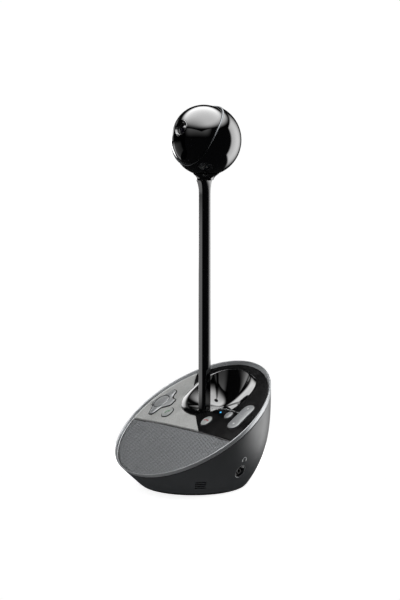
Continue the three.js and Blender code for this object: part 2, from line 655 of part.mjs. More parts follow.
// A box in a port's own frame: centred on x and on the recess's height, sunk from its floor.
const atPort = (x, halfW, halfH, deep, from) =>
  solidOf(boxAt(x - halfW, portFace - deep, PORT_Z - halfH, x + halfW, portFace - from, PORT_Z + halfH));
const USB = { x: -9, halfW: 5, halfH: 2.4, sheet: 0.75, deep: 9 };
add(
  "usb_port",
  atPort(USB.x, USB.halfW, USB.halfH, USB.deep, 0)
    .subtract(atPort(USB.x, USB.halfW - USB.sheet, USB.halfH - USB.sheet, USB.deep - 1, -1))
    .add(atPort(USB.x, 3, 0.4, USB.deep - 0.5, 1.5)),
  "steel",
);
const POWER = { x: 9, half: 4.6, deep: 11, hole: 2.9, pin: 0.9 };
const powerRound = (radius, low, high) =>
  solidOf(cylinder(radius, low, high).rotateX(-Math.PI / 2).translate(POWER.x, portFace, PORT_Z));
add(
  "power_jack",
  atPort(POWER.x, POWER.half + 0.4, POWER.half, POWER.deep, 0)
    .subtract(powerRound(POWER.hole, 2 - POWER.deep, 1))
    .add(powerRound(POWER.pin, 1.5 - POWER.deep, -1)),
  "black",
);
add(
  "microphone",
  solidOf(
    cylinder(MIC.r, -4, 0, 20).rotateY(Math.PI / 2).translate(-WALL - micLean - MIC_CLEAR, 0, 0),
    micMatrix(),
  ),
  "steel",
);

// ---------- stalk ----------
// The section is a rounded square that tapers upward and flares forward into the neck at its top.
function stalkSection(z, scale, forward) {
  const outline = roundedRect(STALK_W * scale, STALK_D * scale, STALK_CORNER * scale, 0, STALK_Y - forward);
  return outline.getPoints(4).map((p) => new THREE.Vector3(p.x, p.y, z)).filter((p, i, all) => {
    return i === 0 || p.distanceTo(all[i - 1]) > 0.01;
  });
}
const closedOnce = (points) => (points[0].distanceTo(points.at(-1)) < 0.01 ? points.slice(0, -1) : points);
const STALK_ROWS = [
  [STALK_BOTTOM, 1.02, 0], [(STALK_BOTTOM + STALK_TOP) / 2, 0.995, 0], [STALK_TOP - 15, 0.97, 0],
  [STALK_TOP - 8, 1.02, 0.15], [STALK_TOP - 3.5, 1.14, 0.4], [STALK_TOP, 1.31, 0.7],
];
const stalkOuter = solidOf(stack(STALK_ROWS.map((row) => closedOnce(stalkSection(...row)))));
const channel = solidOf(extrude(stalkSide(-STALK_WALL), 0, STALK_TOP + WIDE / 2, 3));
const LATCH = { w: 4.6, low: STALK_BOTTOM + 14.1, high: STALK_BOTTOM + 49.1, proud: 1.2, inner: 2.6 };
const rearFace = STALK_Y + STALK_D / 2;
const latchSide = LATCH.w / 2 + GAP;
const latchPocket = boxAt(-latchSide, STALK_Y, LATCH.low - GAP, latchSide, rearFace + 5, LATCH.high + GAP);
add(
  "stalk_tube",
  stalkOuter.subtract(channel).subtract(solidOf(latchPocket)),
  "gloss",
);
add(
  "stalk_latch",
  boxAt(-LATCH.w / 2, rearFace - LATCH.inner, LATCH.low, LATCH.w / 2, rearFace + LATCH.proud, LATCH.high),
  "black",
);
add("stalk_plug", extrude(plugSide(0), STALK_BOTTOM - PLUG_LENGTH, STALK_BOTTOM - GAP, 4), "black");
const CABLE_R = 1.3;
add(
  "stalk_cable",
  cylinder(CABLE_R, STALK_BOTTOM + GAP, STALK_TOP - 22, 10).translate(0, STALK_Y - 1.6, 0),
  "rubber",
);

// ---------- head ----------
const ellipsoid = (centre, x, radius, steps = HEAD_STEPS) =>
  solidOf(
    new THREE.SphereGeometry(1, steps, steps / 2).rotateZ(Math.PI / 2).scale(x, radius, radius)
      .translate(centre.x, centre.y, centre.z),
  );
const PAN_Y = CUP.y;
const NECK_FOOT = STALK_TOP + GAP;
const SPIGOT = { r: 2.6, length: 12 };
const MOTOR = { r: 3.6, low: NECK_FOOT + 0.8, high: NECK_TOP - 1.2 };
const neckProfile = [
  [0, NECK_FOOT], [NECK_BOTTOM_R, NECK_FOOT], [NECK_BOTTOM_R + 0.7, NECK_FOOT + 1.6],
  [NECK_BOTTOM_R + 2.3, NECK_FOOT + 4],
  [NECK_TOP_R, NECK_TOP - 0.4], [NECK_TOP_R, NECK_TOP], [0, NECK_TOP],
];
const cupOutside = ellipsoid(CUP, CUP_X, CUP_R);
const cupClear = ellipsoid(CUP, CUP_X + PAN_CLEAR, CUP_R + PAN_CLEAR);
const panMotorHole = solidOf(cylinder(MOTOR.r + 0.3, MOTOR.low - 0.3, CUP.z).translate(0, PAN_Y, 0));
const spigot = solidOf(
  cylinder(SPIGOT.r, NECK_FOOT - SPIGOT.length, NECK_FOOT + 0.6, 20).translate(0, STALK_Y, 0),
);
add(
  "neck",
  solidOf(lathe(neckProfile, 32).translate(0, PAN_Y, 0))
    .subtract(cupClear)
    .subtract(panMotorHole)
    .add(spigot),
  "gloss",
);
const cupFloor = CUP.z - CUP_R;
const SHAFT_R = 1.0;
add(
  "pan_motor",
  solidOf(cylinder(MOTOR.r, MOTOR.low, cupFloor - 1, 20).translate(0, PAN_Y, 0)).add(
    solidOf(cylinder(SHAFT_R, MOTOR.low, cupFloor + 1.6, 12).translate(0, PAN_Y, 0)),
  ),
  "steel",
);

const rimCutter = solidOf(
  cylinder(RIM_ARC_R, -WIDE / 2, WIDE / 2, 96).rotateY(Math.PI / 2).translate(0, RIM_ARC_Y, RIM_ARC_Z),
);
const cavity = ellipsoid(BALL, BALL_X + CUP_CLEAR, BALL_R + CUP_CLEAR);
const shaftHole = solidOf(cylinder(SHAFT_R + 0.3, cupFloor - 10, cupFloor + 1.9, 12).translate(0, PAN_Y, 0));
add("head_cup", cupOutside.intersect(rimCutter).subtract(cavity).subtract(shaftHole), "gloss");

// The ball is a shell that a plane cuts open behind, so that the bracket reaches in past its edge.
const OPEN_UP = THREE.MathUtils.degToRad(43.5);
const openAxis = new THREE.Vector3(0, -Math.cos(OPEN_UP), Math.sin(OPEN_UP));
const OPEN_BACK = 12.4; // the cut's distance behind the ball's centre
const openTurn = new THREE.Quaternion().setFromUnitVectors(new THREE.Vector3(0, 0, 1), openAxis);
const behind = solidOf(
  boxAt(-WIDE, -WIDE, -WIDE, WIDE, WIDE, 0),
  new THREE.Matrix4()
    .makeRotationFromQuaternion(openTurn)
    .setPosition(BALL.clone().addScaledVector(openAxis, -OPEN_BACK)),
);
const LENS = new THREE.Matrix4()
  .makeRotationX(Math.PI / 2 - LENS_UP)
  .setPosition(BALL);
const lensSolid = (radius, low, high) => solidOf(cylinder(radius, low, high, 28), LENS);
const lensHole = lensSolid(LENS_RING_R + 0.3, BALL_R / 2, 2 * BALL_R);
// A dark oblong window runs from the lens down the front of the ball, over a thin backing that
// the shell keeps.
const WINDOW = { w: 15.6, h: 32, down: 12, deep: 1.2, sunk: 0.15 };
const windowPrism = (grow) =>
  solidOf(
    extrude(
      roundedRect(WINDOW.w + 2 * grow, WINDOW.h + 2 * grow, WINDOW.w / 2 + grow - 0.01, 0, -WINDOW.down),
      BALL_R / 3,
      2 * BALL_R,
      6,
    ),
    LENS,
  );
const ballInside = ellipsoid(BALL, BALL_X - BALL_WALL, BALL_R - BALL_WALL, 20);
const PIVOT = { r: 2.0, to: BALL_X - 3.5 };
const GEAR = { module: 0.8, teeth: 30, pinion: 8, root: 0.9, tip: 0.6, width: 2.2 };
const PINION_Y = (GEAR.module * (GEAR.teeth + GEAR.pinion)) / 2 + 0.1;
const ARM = { x: 18, t: 2 };
const BAR = { y: 22.6, t: 2 };
const POST_Y = BALL_R - 1.3;
const BOSS_FROM = ARM.x + ARM.t + 0.8 + GEAR.width + GAP;
const AT_BALL = new THREE.Matrix4().setPosition(BALL);
const alongX = (geometry, side = 1) => solidOf(geometry.rotateY((side * Math.PI) / 2), AT_BALL);
const sideBoss = (side) =>
  alongX(cylinder(4.2, BOSS_FROM, BALL_X - 0.8, 20), side)
    .subtract(alongX(cylinder(PIVOT.r + 0.1, BOSS_FROM - 2, PIVOT.to + 0.5, 20), side));
add(
  "ball_shell",
  ellipsoid(BALL, BALL_X, BALL_R)
    .subtract(ballInside)
    .subtract(behind)
    .add(sideBoss(1))
    .add(sideBoss(-1))
    .subtract(windowPrism(GAP).subtract(ellipsoid(BALL, BALL_X - WINDOW.deep, BALL_R - WINDOW.deep, 24)))
    .subtract(lensHole),
  "gloss",
);
add(
  "lens_window",
  windowPrism(0)
    .intersect(ellipsoid(BALL, BALL_X - WINDOW.sunk, BALL_R - WINDOW.sunk))
    .subtract(ellipsoid(BALL, BALL_X - WINDOW.deep + 0.25, BALL_R - WINDOW.deep + 0.25, 24))
    .subtract(lensHole),
  "glass",
);
const LENS_FACE = BALL_R - 0.9;
add(
  "lens_ring",
  solidOf(
    lathe([
      [LENS_RING_R, LENS_FACE - 3.4], [LENS_RING_R, LENS_FACE - 0.3], [LENS_RING_R - 0.8, LENS_FACE + 0.3],
      [LENS_R + 0.4, LENS_FACE - 1.6], [LENS_R + 0.4, LENS_FACE - 3.4], [LENS_RING_R, LENS_FACE - 3.4],
    ], 28),
    LENS,
  ),
  "gloss",
);
add(
  "lens_barrel",
  lensSolid(LENS_R, 8, LENS_FACE - 2).subtract(lensSolid(LENS_R - 1, LENS_FACE - 5, LENS_FACE)),
  "black",
);
const GLASS_R = LENS_R - 1.2;
const glassProfile = [
  [0, LENS_FACE - 4.6], [GLASS_R, LENS_FACE - 4.6], [GLASS_R, LENS_FACE - 3.4],
  [2.4, LENS_FACE - 2.7], [0, LENS_FACE - 2.5],
];
add("lens_glass", solidOf(lathe(glassProfile), LENS), "glass");
add("sensor_board", solidOf(boxAt(-9, -9, 5.4, 9, 9, 8 - GAP), LENS), "board");

// Tilt drive: a bracket inside the cup carries the pivots and the motor, whose pinion turns a gear
// on the ball.
const bracketParts = [
  boxAt(-ARM.x - ARM.t, 0, -4, -ARM.x, BAR.y, 4),
  boxAt(ARM.x, 0, -4, ARM.x + ARM.t, BAR.y, 4),
  boxAt(-ARM.x - ARM.t, BAR.y - BAR.t, -4, ARM.x + ARM.t, BAR.y, 4),
  boxAt(-4, BAR.y - BAR.t, -8, 4, POST_Y, 0),
  cylinder(4, ARM.x, ARM.x + ARM.t, 20).rotateY(Math.PI / 2),
  cylinder(4, ARM.x, ARM.x + ARM.t, 20).rotateY(-Math.PI / 2),
];
const MOTOR_SHAFT_R = 0.8;
const motorHole = alongX(cylinder(MOTOR_SHAFT_R + 0.4, 0, ARM.x + ARM.t + 1, 16).translate(0, PINION_Y, 0));
add(
  "tilt_bracket",
  bracketParts
    .map((part) => solidOf(part, AT_BALL))
    .reduce((whole, part) => whole.add(part))
    .subtract(motorHole),
  "steel",
);
[["left", -1], ["right", 1]].forEach(([name, side]) => {
  add(`tilt_pin_${name}`, alongX(cylinder(PIVOT.r, ARM.x + ARM.t + GAP, PIVOT.to, 16), side), "steel");
});
// One tooth, as shares of the pitch and heights over the pitch circle.
const TOOTH = [[-0.3, -GEAR.root], [-0.14, GEAR.tip], [0.14, GEAR.tip], [0.3, -GEAR.root]];
function gearShape(teeth) {
  const pitch = (GEAR.module * teeth) / 2;
  const points = [];
  for (let tooth = 0; tooth < teeth; tooth++) {
    const middle = (tooth * 2 * Math.PI) / teeth;
    const step = (2 * Math.PI) / teeth;
    TOOTH.forEach(([share, rise]) => {
      const angle = middle + share * step;
      points.push([(pitch + rise) * Math.cos(angle), (pitch + rise) * Math.sin(angle)]);
    });
  }
  return shapeOf(points);
}
const gearLow = ARM.x + ARM.t + 0.8;
add(
  "tilt_gear",
  alongX(extrude(gearShape(GEAR.teeth), gearLow, gearLow + GEAR.width)).subtract(
    alongX(cylinder(PIVOT.r + 0.4, 0, 40, 16)),
  ),
  "brass",
);
add(
  "tilt_pinion",
  alongX(
    extrude(gearShape(GEAR.pinion), gearLow, gearLow + GEAR.width).translate(0, PINION_Y, 0),
  ).subtract(alongX(cylinder(MOTOR_SHAFT_R + 0.3, 0, 40, 12).translate(0, PINION_Y, 0))),
  "brass",
);
add(
  "tilt_motor",
  alongX(cylinder(4.4, 4, ARM.x - GAP, 20).translate(0, PINION_Y, 0)).add(
    alongX(cylinder(MOTOR_SHAFT_R, 4, gearLow + GEAR.width, 12).translate(0, PINION_Y, 0)),
  ),
  "steel",
);

export default root;
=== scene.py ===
"""Looks of a desktop conference camera: a sloping speaker base, a stalk and a ball head.

All sizes are in millimetres and become metres only when a mesh is made. The frame is the CAD
part's: +Z up, the front along -Y, the origin on the table under the centre of the round rim.
"""

import logging
import math
from dataclasses import dataclass
from enum import Enum
from typing import Callable, Iterable, Sequence

import bmesh
import bpy
import numpy as np
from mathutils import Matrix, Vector


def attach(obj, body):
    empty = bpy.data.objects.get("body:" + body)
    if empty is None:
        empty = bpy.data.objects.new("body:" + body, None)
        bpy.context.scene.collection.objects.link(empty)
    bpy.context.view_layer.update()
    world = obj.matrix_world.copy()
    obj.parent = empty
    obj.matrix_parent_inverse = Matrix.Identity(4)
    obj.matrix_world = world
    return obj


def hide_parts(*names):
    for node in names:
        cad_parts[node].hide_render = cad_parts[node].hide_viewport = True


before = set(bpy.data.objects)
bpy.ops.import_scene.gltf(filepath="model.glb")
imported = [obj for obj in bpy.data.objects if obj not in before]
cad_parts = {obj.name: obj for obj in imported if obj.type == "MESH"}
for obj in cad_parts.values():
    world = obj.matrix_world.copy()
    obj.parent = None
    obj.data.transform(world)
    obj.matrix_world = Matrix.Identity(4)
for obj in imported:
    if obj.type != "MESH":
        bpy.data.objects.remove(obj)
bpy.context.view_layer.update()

log = logging.getLogger("scene")

MM = 0.001  # metres in a millimetre
FULL_TURN = 2 * math.pi


# ---------------------------------------------------------------- the part's own sizes


@dataclass(frozen=True)
class Face:
    """The sloping face: x across, v up the slope and n out of it, from the rim's centre."""

    tilt: float = math.radians(30.7)
    height: float = 67.4
    panel: float = 1.8
    gap: float = 0.35

    def z(self, y: np.ndarray) -> np.ndarray:
        """Height of the face above the table at plan depth y."""
        return self.height + math.tan(self.tilt) * y

    def place(self, x: np.ndarray, v: np.ndarray, n: np.ndarray) -> np.ndarray:
        """Points of the part for face coordinates.

        Args:
            x: distance across.
            v: distance up the slope.
            n: distance out of the face.

        Returns:
            An array of points whose last axis is x, y, z.
        """
        sine, cosine = math.sin(self.tilt), math.cos(self.tilt)
        x, v, n = np.broadcast_arrays(x, v, n)
        return np.stack([x, v * cosine - n * sine, self.height + v * sine + n * cosine], -1)


FACE = Face()


class Body(Enum):
    """The moving bodies that a piece can ride on."""

    BASE = "base"
    DPAD = "dpad"
    CENTRE_KEY = "centre_key"
    ANSWER = "answer"
    HANG_UP = "hangup"
    MUTE = "mute"
    VOLUME = "volume"
    STALK = "stalk"
    LATCH = "latch"
    NECK = "neck"
    HEAD = "head"
    BALL = "ball"


class Slot(Enum):
    """Material slot names, carried along with some finishes; nothing here assigns them."""

    BODY = "body_plastic"
    RIM = "rim_plastic"
    GRILLE = "grille_sheet"
    SILVER = "silver_face"
    GLOSS = "gloss_black"
    MATTE = "matte_black"
    KEYS = "grey_keys"
    PALE_KEYS = "pale_keys"
    SOFT = "soft_black"
    STEEL = "bare_steel"
    BRASS = "brass_gears"
    LENS = "lens_glass"
    LIGHT = "blue_light"


# ---------------------------------------------------------------- materials


def linear(colour: str) -> tuple[float, float, float, float]:
    """An sRGB hex colour as linear RGBA."""
    parts = [int(colour[i : i + 2], 16) / 255 for i in (1, 3, 5)]
    curve = [c / 12.92 if c <= 0.04045 else ((c + 0.055) / 1.055) ** 2.4 for c in parts]
    return (*curve, 1.0)


def add_node(tree: bpy.types.NodeTree, kind: str, inputs: dict | None = None, **settings) -> bpy.types.Node:
    """Adds one node with its settings and its inputs, each a value or another node's socket.

    Args:
        tree: the node tree that gets the node.
        kind: the node's type name.
        inputs: socket name or index to a value or an output socket.
        **settings: attributes of the node.

    Returns:
        The new node.
    """
    node = tree.nodes.new(kind)
    for name, value in settings.items():
        setattr(node, name, value)
    for name, value in (inputs or {}).items():
        if isinstance(value, bpy.types.NodeSocket):
            tree.links.new(value, node.inputs[name])
        else:
            node.inputs[name].default_value = value
    return node


@dataclass(frozen=True)
class Finish:
    """One surface finish on a Principled shader, with a fine grain worked out from a real size.

    Attributes:
        name: the material's name.
        colour: sRGB hex colour.
        roughness: mean roughness.
        metallic: metal share.
        ior: index of refraction, for what isn't a metal.
        coat: clear coat weight.
        coat_roughness: roughness of that coat.
        grain: size of one grain, in millimetres.
        bump: height of the grain, in millimetres.
        mottle: share by which the colour varies over some centimetres.
        wander: how far the roughness varies.
    """

    name: str
    colour: str
    roughness: float
    metallic: float = 0.0
    ior: float = 1.5
    coat: float = 0.0
    coat_roughness: float = 0.03
    grain: float = 0.5
    bump: float = 0.0
    mottle: float = 0.04
    wander: float = 0.03

    def build(self) -> bpy.types.Material:
        """Makes the material, once for each name."""
        found = bpy.data.materials.get(self.name)
        if found:
            return found
        material = bpy.data.materials.new(self.name)
        material.use_nodes = True
        tree = material.node_tree
        tree.nodes.clear()
        output = add_node(tree, "ShaderNodeOutputMaterial")
        shader = add_node(tree, "ShaderNodeBsdfPrincipled")
        tree.links.new(shader.outputs[0], output.inputs["Surface"])
        shader.inputs["Metallic"].default_value = self.metallic
        if self.metallic < 0.5:
            shader.inputs["IOR"].default_value = self.ior
        shader.inputs["Coat Weight"].default_value = self.coat
        shader.inputs["Coat Roughness"].default_value = self.coat_roughness
        coords = add_node(tree, "ShaderNodeTexCoord").outputs["Object"]
        self.colour_nodes(tree, shader, coords)
        self.surface_nodes(tree, shader, coords)
        return material

    def colour_nodes(
        self, tree: bpy.types.NodeTree, shader: bpy.types.Node, coords: bpy.types.NodeSocket
    ) -> None:
        """Slow colour variation over a few centimetres, as in a moulded or sprayed skin."""
        cloud = add_node(tree, "ShaderNodeTexNoise", {"Vector": coords, "Scale": 38.0, "Detail": 3.0})
        ramp = add_node(tree, "ShaderNodeValToRGB", {"Fac": cloud.outputs["Fac"]})
        base = linear(self.colour)
        for element, share in zip(ramp.color_ramp.elements, (1 - self.mottle, 1 + self.mottle)):
            element.color = (*[min(c * share, 1.0) for c in base[:3]], 1.0)
        ramp.color_ramp.elements[0].position = 0.35
        ramp.color_ramp.elements[1].position = 0.65
        tree.links.new(ramp.outputs["Color"], shader.inputs["Base Color"])

    def surface_nodes(
        self, tree: bpy.types.NodeTree, shader: bpy.types.Node, coords: bpy.types.NodeSocket
    ) -> None:
        """Roughness that wanders a little, and a fine grain as bump where the finish has one."""
        scale = 1.0 / (self.grain * MM)
        fine = add_node(tree, "ShaderNodeTexNoise", {"Vector": coords, "Scale": scale, "Detail": 2.0})
        slow = add_node(tree, "ShaderNodeTexNoise", {"Vector": coords, "Scale": 60.0, "Detail": 4.0})
        spread = add_node(
            tree,
            "ShaderNodeMapRange",
            {
                "Value": slow.outputs["Fac"],
                "From Min": 0.3,
                "From Max": 0.7,
                "To Min": max(self.roughness - self.wander, 0.02),
                "To Max": self.roughness + self.wander,
            },
        )
        tree.links.new(spread.outputs["Result"], shader.inputs["Roughness"])
        if self.bump > 0:
            bump = add_node(
                tree,
                "ShaderNodeBump",
                {"Height": fine.outputs["Fac"], "Distance": self.bump * MM, "Strength": 0.6},
            )
            tree.links.new(bump.outputs["Normal"], shader.inputs["Normal"])


@dataclass(frozen=True)
class FlakePaint(Finish):
    """Metallic paint: small bright flakes lie at slightly different tones in a clear binder."""

    flake: float = 0.9  # size of a flake patch in millimetres, coarser than real so that it shows
    sparkle: float = 0.1

    def colour_nodes(
        self, tree: bpy.types.NodeTree, shader: bpy.types.Node, coords: bpy.types.NodeSocket
    ) -> None:
        """Cells of slightly different tone over the base colour."""
        cells = add_node(tree, "ShaderNodeTexVoronoi", {"Vector": coords, "Scale": 1.0 / (self.flake * MM)})
        tone = add_node(tree, "ShaderNodeSeparateColor", {"Color": cells.outputs["Color"]})
        ramp = add_node(tree, "ShaderNodeValToRGB", {"Fac": tone.outputs["Red"]})
        base = linear(self.colour)
        for element, share in zip(ramp.color_ramp.elements, (1 - self.sparkle, 1 + self.sparkle)):
            element.color = (*[min(c * share, 1.0) for c in base[:3]], 1.0)
        tree.links.new(ramp.outputs["Color"], shader.inputs["Base Color"])


@dataclass(frozen=True)
class Glow(Finish):
    """A lit light pipe: clear blue plastic with light coming through it."""

    strength: float = 1.5

    def colour_nodes(
        self, tree: bpy.types.NodeTree, shader: bpy.types.Node, coords: bpy.types.NodeSocket
    ) -> None:
        """The plastic's colour, and the same colour as light."""
        super().colour_nodes(tree, shader, coords)
        shader.inputs["Emission Color"].default_value = linear(self.colour)
        shader.inputs["Emission Strength"].default_value = self.strength


# ABS moulded against a fine spark-eroded tool: a soft, even satin in charcoal.
CASING = Finish("abs_charcoal_moulded", "#2b2d2f", 0.42, grain=0.45, bump=0.035, mottle=0.05)
# Polycarbonate sprayed in dark silver: a brighter satin line round the face.
RIM_PAINT = FlakePaint("paint_dark_silver_sprayed", "#909294", 0.36, metallic=0.6, grain=0.5, bump=0.01)
# Sheet steel, perforated and powder coated in mid grey: a slightly dusty metal.
GRILLE_COAT = FlakePaint("steel_grille_powder_coated", "#7b7d7f", 0.5, metallic=0.55, grain=0.4, bump=0.02)
# ABS sprayed in silver: pale metallic satin with soft, wide highlights.
SILVER_PAINT = FlakePaint("paint_silver_sprayed", "#c2c3c1", 0.32, metallic=0.55, grain=0.5, bump=0.008)
# ABS moulded against a polished tool, in black: mirror-like, with the faint ripple that moulding leaves.
PIANO_BLACK = Finish(
    "abs_black_polished", "#08080a", 0.05, ior=1.52, coat=0.6, grain=14.0, bump=0.012, wander=0.02
)
# The same black under printed keys, a little less polished than the head.
PANEL_BLACK = Finish(
    "acrylic_black_panel", "#0c0c0e", 0.16, ior=1.49, coat=0.3, grain=14.0, bump=0.01, wander=0.03
)
# Black ABS with a satin moulded skin; also painted shade on the key skirts and on the grille's folded edge.
SATIN_BLACK = Finish("abs_black_satin", "#131314", 0.5, grain=0.4, bump=0.03)
# Key caps sprayed in grey metallic.
KEY_GREY = FlakePaint("paint_key_grey_sprayed", "#8c8e8f", 0.36, metallic=0.5, grain=0.5, bump=0.008)
# Pale key caps in translucent polycarbonate: milky, with a soft sheen.
KEY_PALE = Finish("polycarbonate_key_pale", "#c3c7c5", 0.3, ior=1.58, grain=0.6, bump=0.006)
# Moulded silicone rubber: dull, slightly dusty black; also the black bands of painted shade round the keys.
RUBBER = Finish("rubber_black_moulded", "#101011", 0.8, grain=0.6, bump=0.05, mottle=0.1)
# Nickel-plated steel: bright grey metal with faint handling marks.
PLATED = Finish("steel_nickel_plated", "#a9abad", 0.28, metallic=1.0, grain=0.3, bump=0.01, wander=0.08)
# A bright trim of vacuum-metallised plastic.
TRIM = Finish("trim_vacuum_metallised", "#d4d6d7", 0.2, metallic=1.0, grain=0.8, bump=0.0)
# A dark bright-plated bead.
DARK_CHROME = Finish("trim_dark_plated", "#56585a", 0.3, metallic=1.0, grain=0.8, bump=0.0)
# Brass turned and cut: warm yellow metal.
BRASS = Finish("brass_cut", "#b08d3c", 0.3, metallic=1.0, grain=0.3, bump=0.01)
# Pressed paper pulp with a black coating: matt and fibrous.
PULP = Finish("paper_cone_coated", "#161617", 0.85, grain=0.9, bump=0.12, mottle=0.2)
# Glass fibre board under green solder mask.
MASKED = Finish("fibreglass_board_masked", "#123d28", 0.4, coat=0.3, grain=1.6, bump=0.03, mottle=0.15)
# Smoked acrylic over the optics: nearly black and very smooth.
SMOKED = Finish(
    "acrylic_smoked_window", "#030304", 0.06, ior=1.16, coat=0.0, grain=20.0, bump=0.0, wander=0.01
)
# Coated lens glass: dark, with a violet tinge.
LENS_COATED = Finish(
    "glass_lens_coated", "#0d0a18", 0.02, ior=1.6, coat=1.0, grain=20.0, bump=0.0, wander=0.01
)
# Blue light pipe.
BLUE_PIPE = Glow("acrylic_light_pipe_blue", "#3fa9e0", 0.25)
# Printed marks, screen printed in matt inks.
INK_WHITE = Finish("ink_white_printed", "#e6e8e8", 0.5, grain=0.3)
INK_GREY = Finish("ink_grey_printed", "#a4a6a7", 0.5, grain=0.3)
INK_RED = Finish("ink_red_printed", "#c8504c", 0.5, grain=0.3)
INK_GREEN = Finish("ink_green_printed", "#4f9a5f", 0.5, grain=0.3)


# ---------------------------------------------------------------- meshes


def grid_faces(rows: int, columns: int, close_rows: bool, close_columns: bool) -> np.ndarray:
    """Quads of a grid of rows by columns points, numbered row by row.

    Args:
        rows: how many rows of points.
        columns: how many points in a row.
        close_rows: joins the last row to the first.
        close_columns: joins the last column to the first.

    Returns:
        An array of four point numbers for each quad.
    """
    r = np.arange(rows if close_rows else rows - 1)
    c = np.arange(columns if close_columns else columns - 1)
    r, c = np.meshgrid(r, c, indexing="ij")
    down, across = (r + 1) % rows, (c + 1) % columns
    quads = [r * columns + c, r * columns + across, down * columns + across, down * columns + c]
    return np.stack([q.ravel() for q in quads], -1)


def make_mesh(
    name: str, points: np.ndarray, faces: Sequence[Sequence[int]], sharp: float = 35.0
) -> bpy.types.Object:
    """A mesh object from points in millimetres, with doubles merged and normals outwards.

    Args:
        name: the object's name.
        points: an array whose last axis is x, y, z.
        faces: point numbers for each face.
        sharp: edges that turn by more than this many degrees stay sharp.

    Returns:
        The object, at the origin.
    """
    mesh = bpy.data.meshes.new(name)
    mesh.from_pydata((points.reshape(-1, 3) * MM).tolist(), [], [list(map(int, f)) for f in faces])
    work = bmesh.new()
    work.from_mesh(mesh)
    bmesh.ops.remove_doubles(work, verts=work.verts, dist=1e-3 * MM)
    bmesh.ops.dissolve_degenerate(work, edges=work.edges, dist=1e-4 * MM)
    loose = [edge for edge in work.edges if edge.is_wire]
    bmesh.ops.delete(work, geom=loose, context="EDGES")
    bmesh.ops.recalc_face_normals(work, faces=work.faces)
    work.to_mesh(mesh)
    work.free()
    piece = bpy.data.objects.new(name, mesh)
    bpy.context.scene.collection.objects.link(piece)
    smooth(piece, sharp)
    return piece


def smooth(piece: bpy.types.Object, sharp: float = 35.0) -> None:
    """Smooth shading, with edges kept sharp where the surface turns by more than sharp degrees."""
    mesh = piece.data
    mesh.polygons.foreach_set("use_smooth", np.ones(len(mesh.polygons), dtype=bool))
    mesh.set_sharp_from_angle(angle=math.radians(sharp))
    mesh.update()


def apply_modifiers(piece: bpy.types.Object) -> None:
    """Puts what the modifiers make into the piece's own mesh."""
    graph = bpy.context.evaluated_depsgraph_get()
    made = bpy.data.meshes.new_from_object(piece.evaluated_get(graph))
    old = piece.data
    piece.modifiers.clear()
    piece.data = made
    bpy.data.meshes.remove(old)


def cut(piece: bpy.types.Object, cutters: Iterable[bpy.types.Object], sharp: float = 35.0) -> None:
    """Takes the cutters out of the piece and deletes them."""
    cutters = list(cutters)
    for cutter in cutters:
        modifier = piece.modifiers.new("cut", "BOOLEAN")
        modifier.operation = "DIFFERENCE"
        modifier.solver = "EXACT"
        modifier.object = cutter
    apply_modifiers(piece)
    for cutter in cutters:
        bpy.data.objects.remove(cutter)
    smooth(piece, sharp)


def bevel(piece: bpy.types.Object, width: float, segments: int = 2, angle: float = 35.0) -> None:
    """Rounds the sharp edges by a width in millimetres and applies it."""
    modifier = piece.modifiers.new("bevel", "BEVEL")
    modifier.width = width * MM
    modifier.segments = segments
    modifier.limit_method = "ANGLE"
    modifier.angle_limit = math.radians(angle)
    modifier.use_clamp_overlap = True
    apply_modifiers(piece)
    smooth(piece, 50.0)


def prism(name: str, outline: np.ndarray, low: float, high: float, place: Callable) -> bpy.types.Object:
    """A straight prism on a closed outline.

    Args:
        name: the object's name.
        outline: points of the outline, one row each.
        low: height of one end.
        high: height of the other end.
        place: turns across, along and height into points of the part.

    Returns:
        The object.
    """
    count = len(outline)
    heights = np.array([low, high])[:, None]
    points = place(outline[None, :, 0], outline[None, :, 1], heights)
    sides = grid_faces(2, count, False, True).tolist()
    return make_mesh(name, points, sides + [list(range(count)), list(range(count, 2 * count))])


def dress(
    piece: bpy.types.Object, finish: Finish, body: Body, nodes: Sequence[str] = ()
) -> bpy.types.Object:
    """Gives a piece its finish and its body, and hides the CAD nodes it stands for."""
    piece.data.materials.clear()
    piece.data.materials.append(finish.build())
    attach(piece, body.value)
    if nodes:
        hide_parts(*nodes)
    log.info("%s: %d faces on %s", piece.name, len(piece.data.polygons), body.value)
    return piece


def recolour(node: str, finish: Finish) -> None:
    """Gives a carried-over CAD node a finish."""
    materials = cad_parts[node].data.materials
    materials.clear()
    materials.append(finish.build())
    log.info("%s keeps its CAD shape in %s", node, finish.name)


def softened(node: str, name: str, finish: Finish, body: Body, width: float) -> bpy.types.Object:
    """A copy of a CAD node with merged points and rounded edges, which stands for the node."""
    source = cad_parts[node]
    mesh = source.data.copy()
    work = bmesh.new()
    work.from_mesh(mesh)
    bmesh.ops.remove_doubles(work, verts=work.verts, dist=2e-3 * MM)
    bmesh.ops.dissolve_limit(work, angle_limit=math.radians(1.0), verts=work.verts, edges=work.edges)
    work.to_mesh(mesh)
    work.free()
    mesh.name = name
    piece = bpy.data.objects.new(name, mesh)
    bpy.context.scene.collection.objects.link(piece)
    bevel(piece, width)
    even = piece.modifiers.new("flat_faces", "WEIGHTED_NORMAL")
    even.keep_sharp = True
    even.weight = 100
    apply_modifiers(piece)
    return dress(piece, finish, body, [node])


# ---------------------------------------------------------------- outlines


def rounded_rect(width: float, depth: float, corner: float, steps: int = 10) -> np.ndarray:
    """A rectangle with round corners, counter-clockwise: a quarter turn about each corner's centre."""
    turn = np.linspace(0, math.pi / 2, steps + 1)
    quarters = []
    for index, (sx, sy) in enumerate(((1, 1), (-1, 1), (-1, -1), (1, -1))):
        angle = turn + index * math.pi / 2
        x = sx * (width / 2 - corner) + corner * np.cos(angle)
        y = sy * (depth / 2 - corner) + corner * np.sin(angle)
        quarters.append(np.stack([x, y], -1))
    return np.concatenate(quarters)


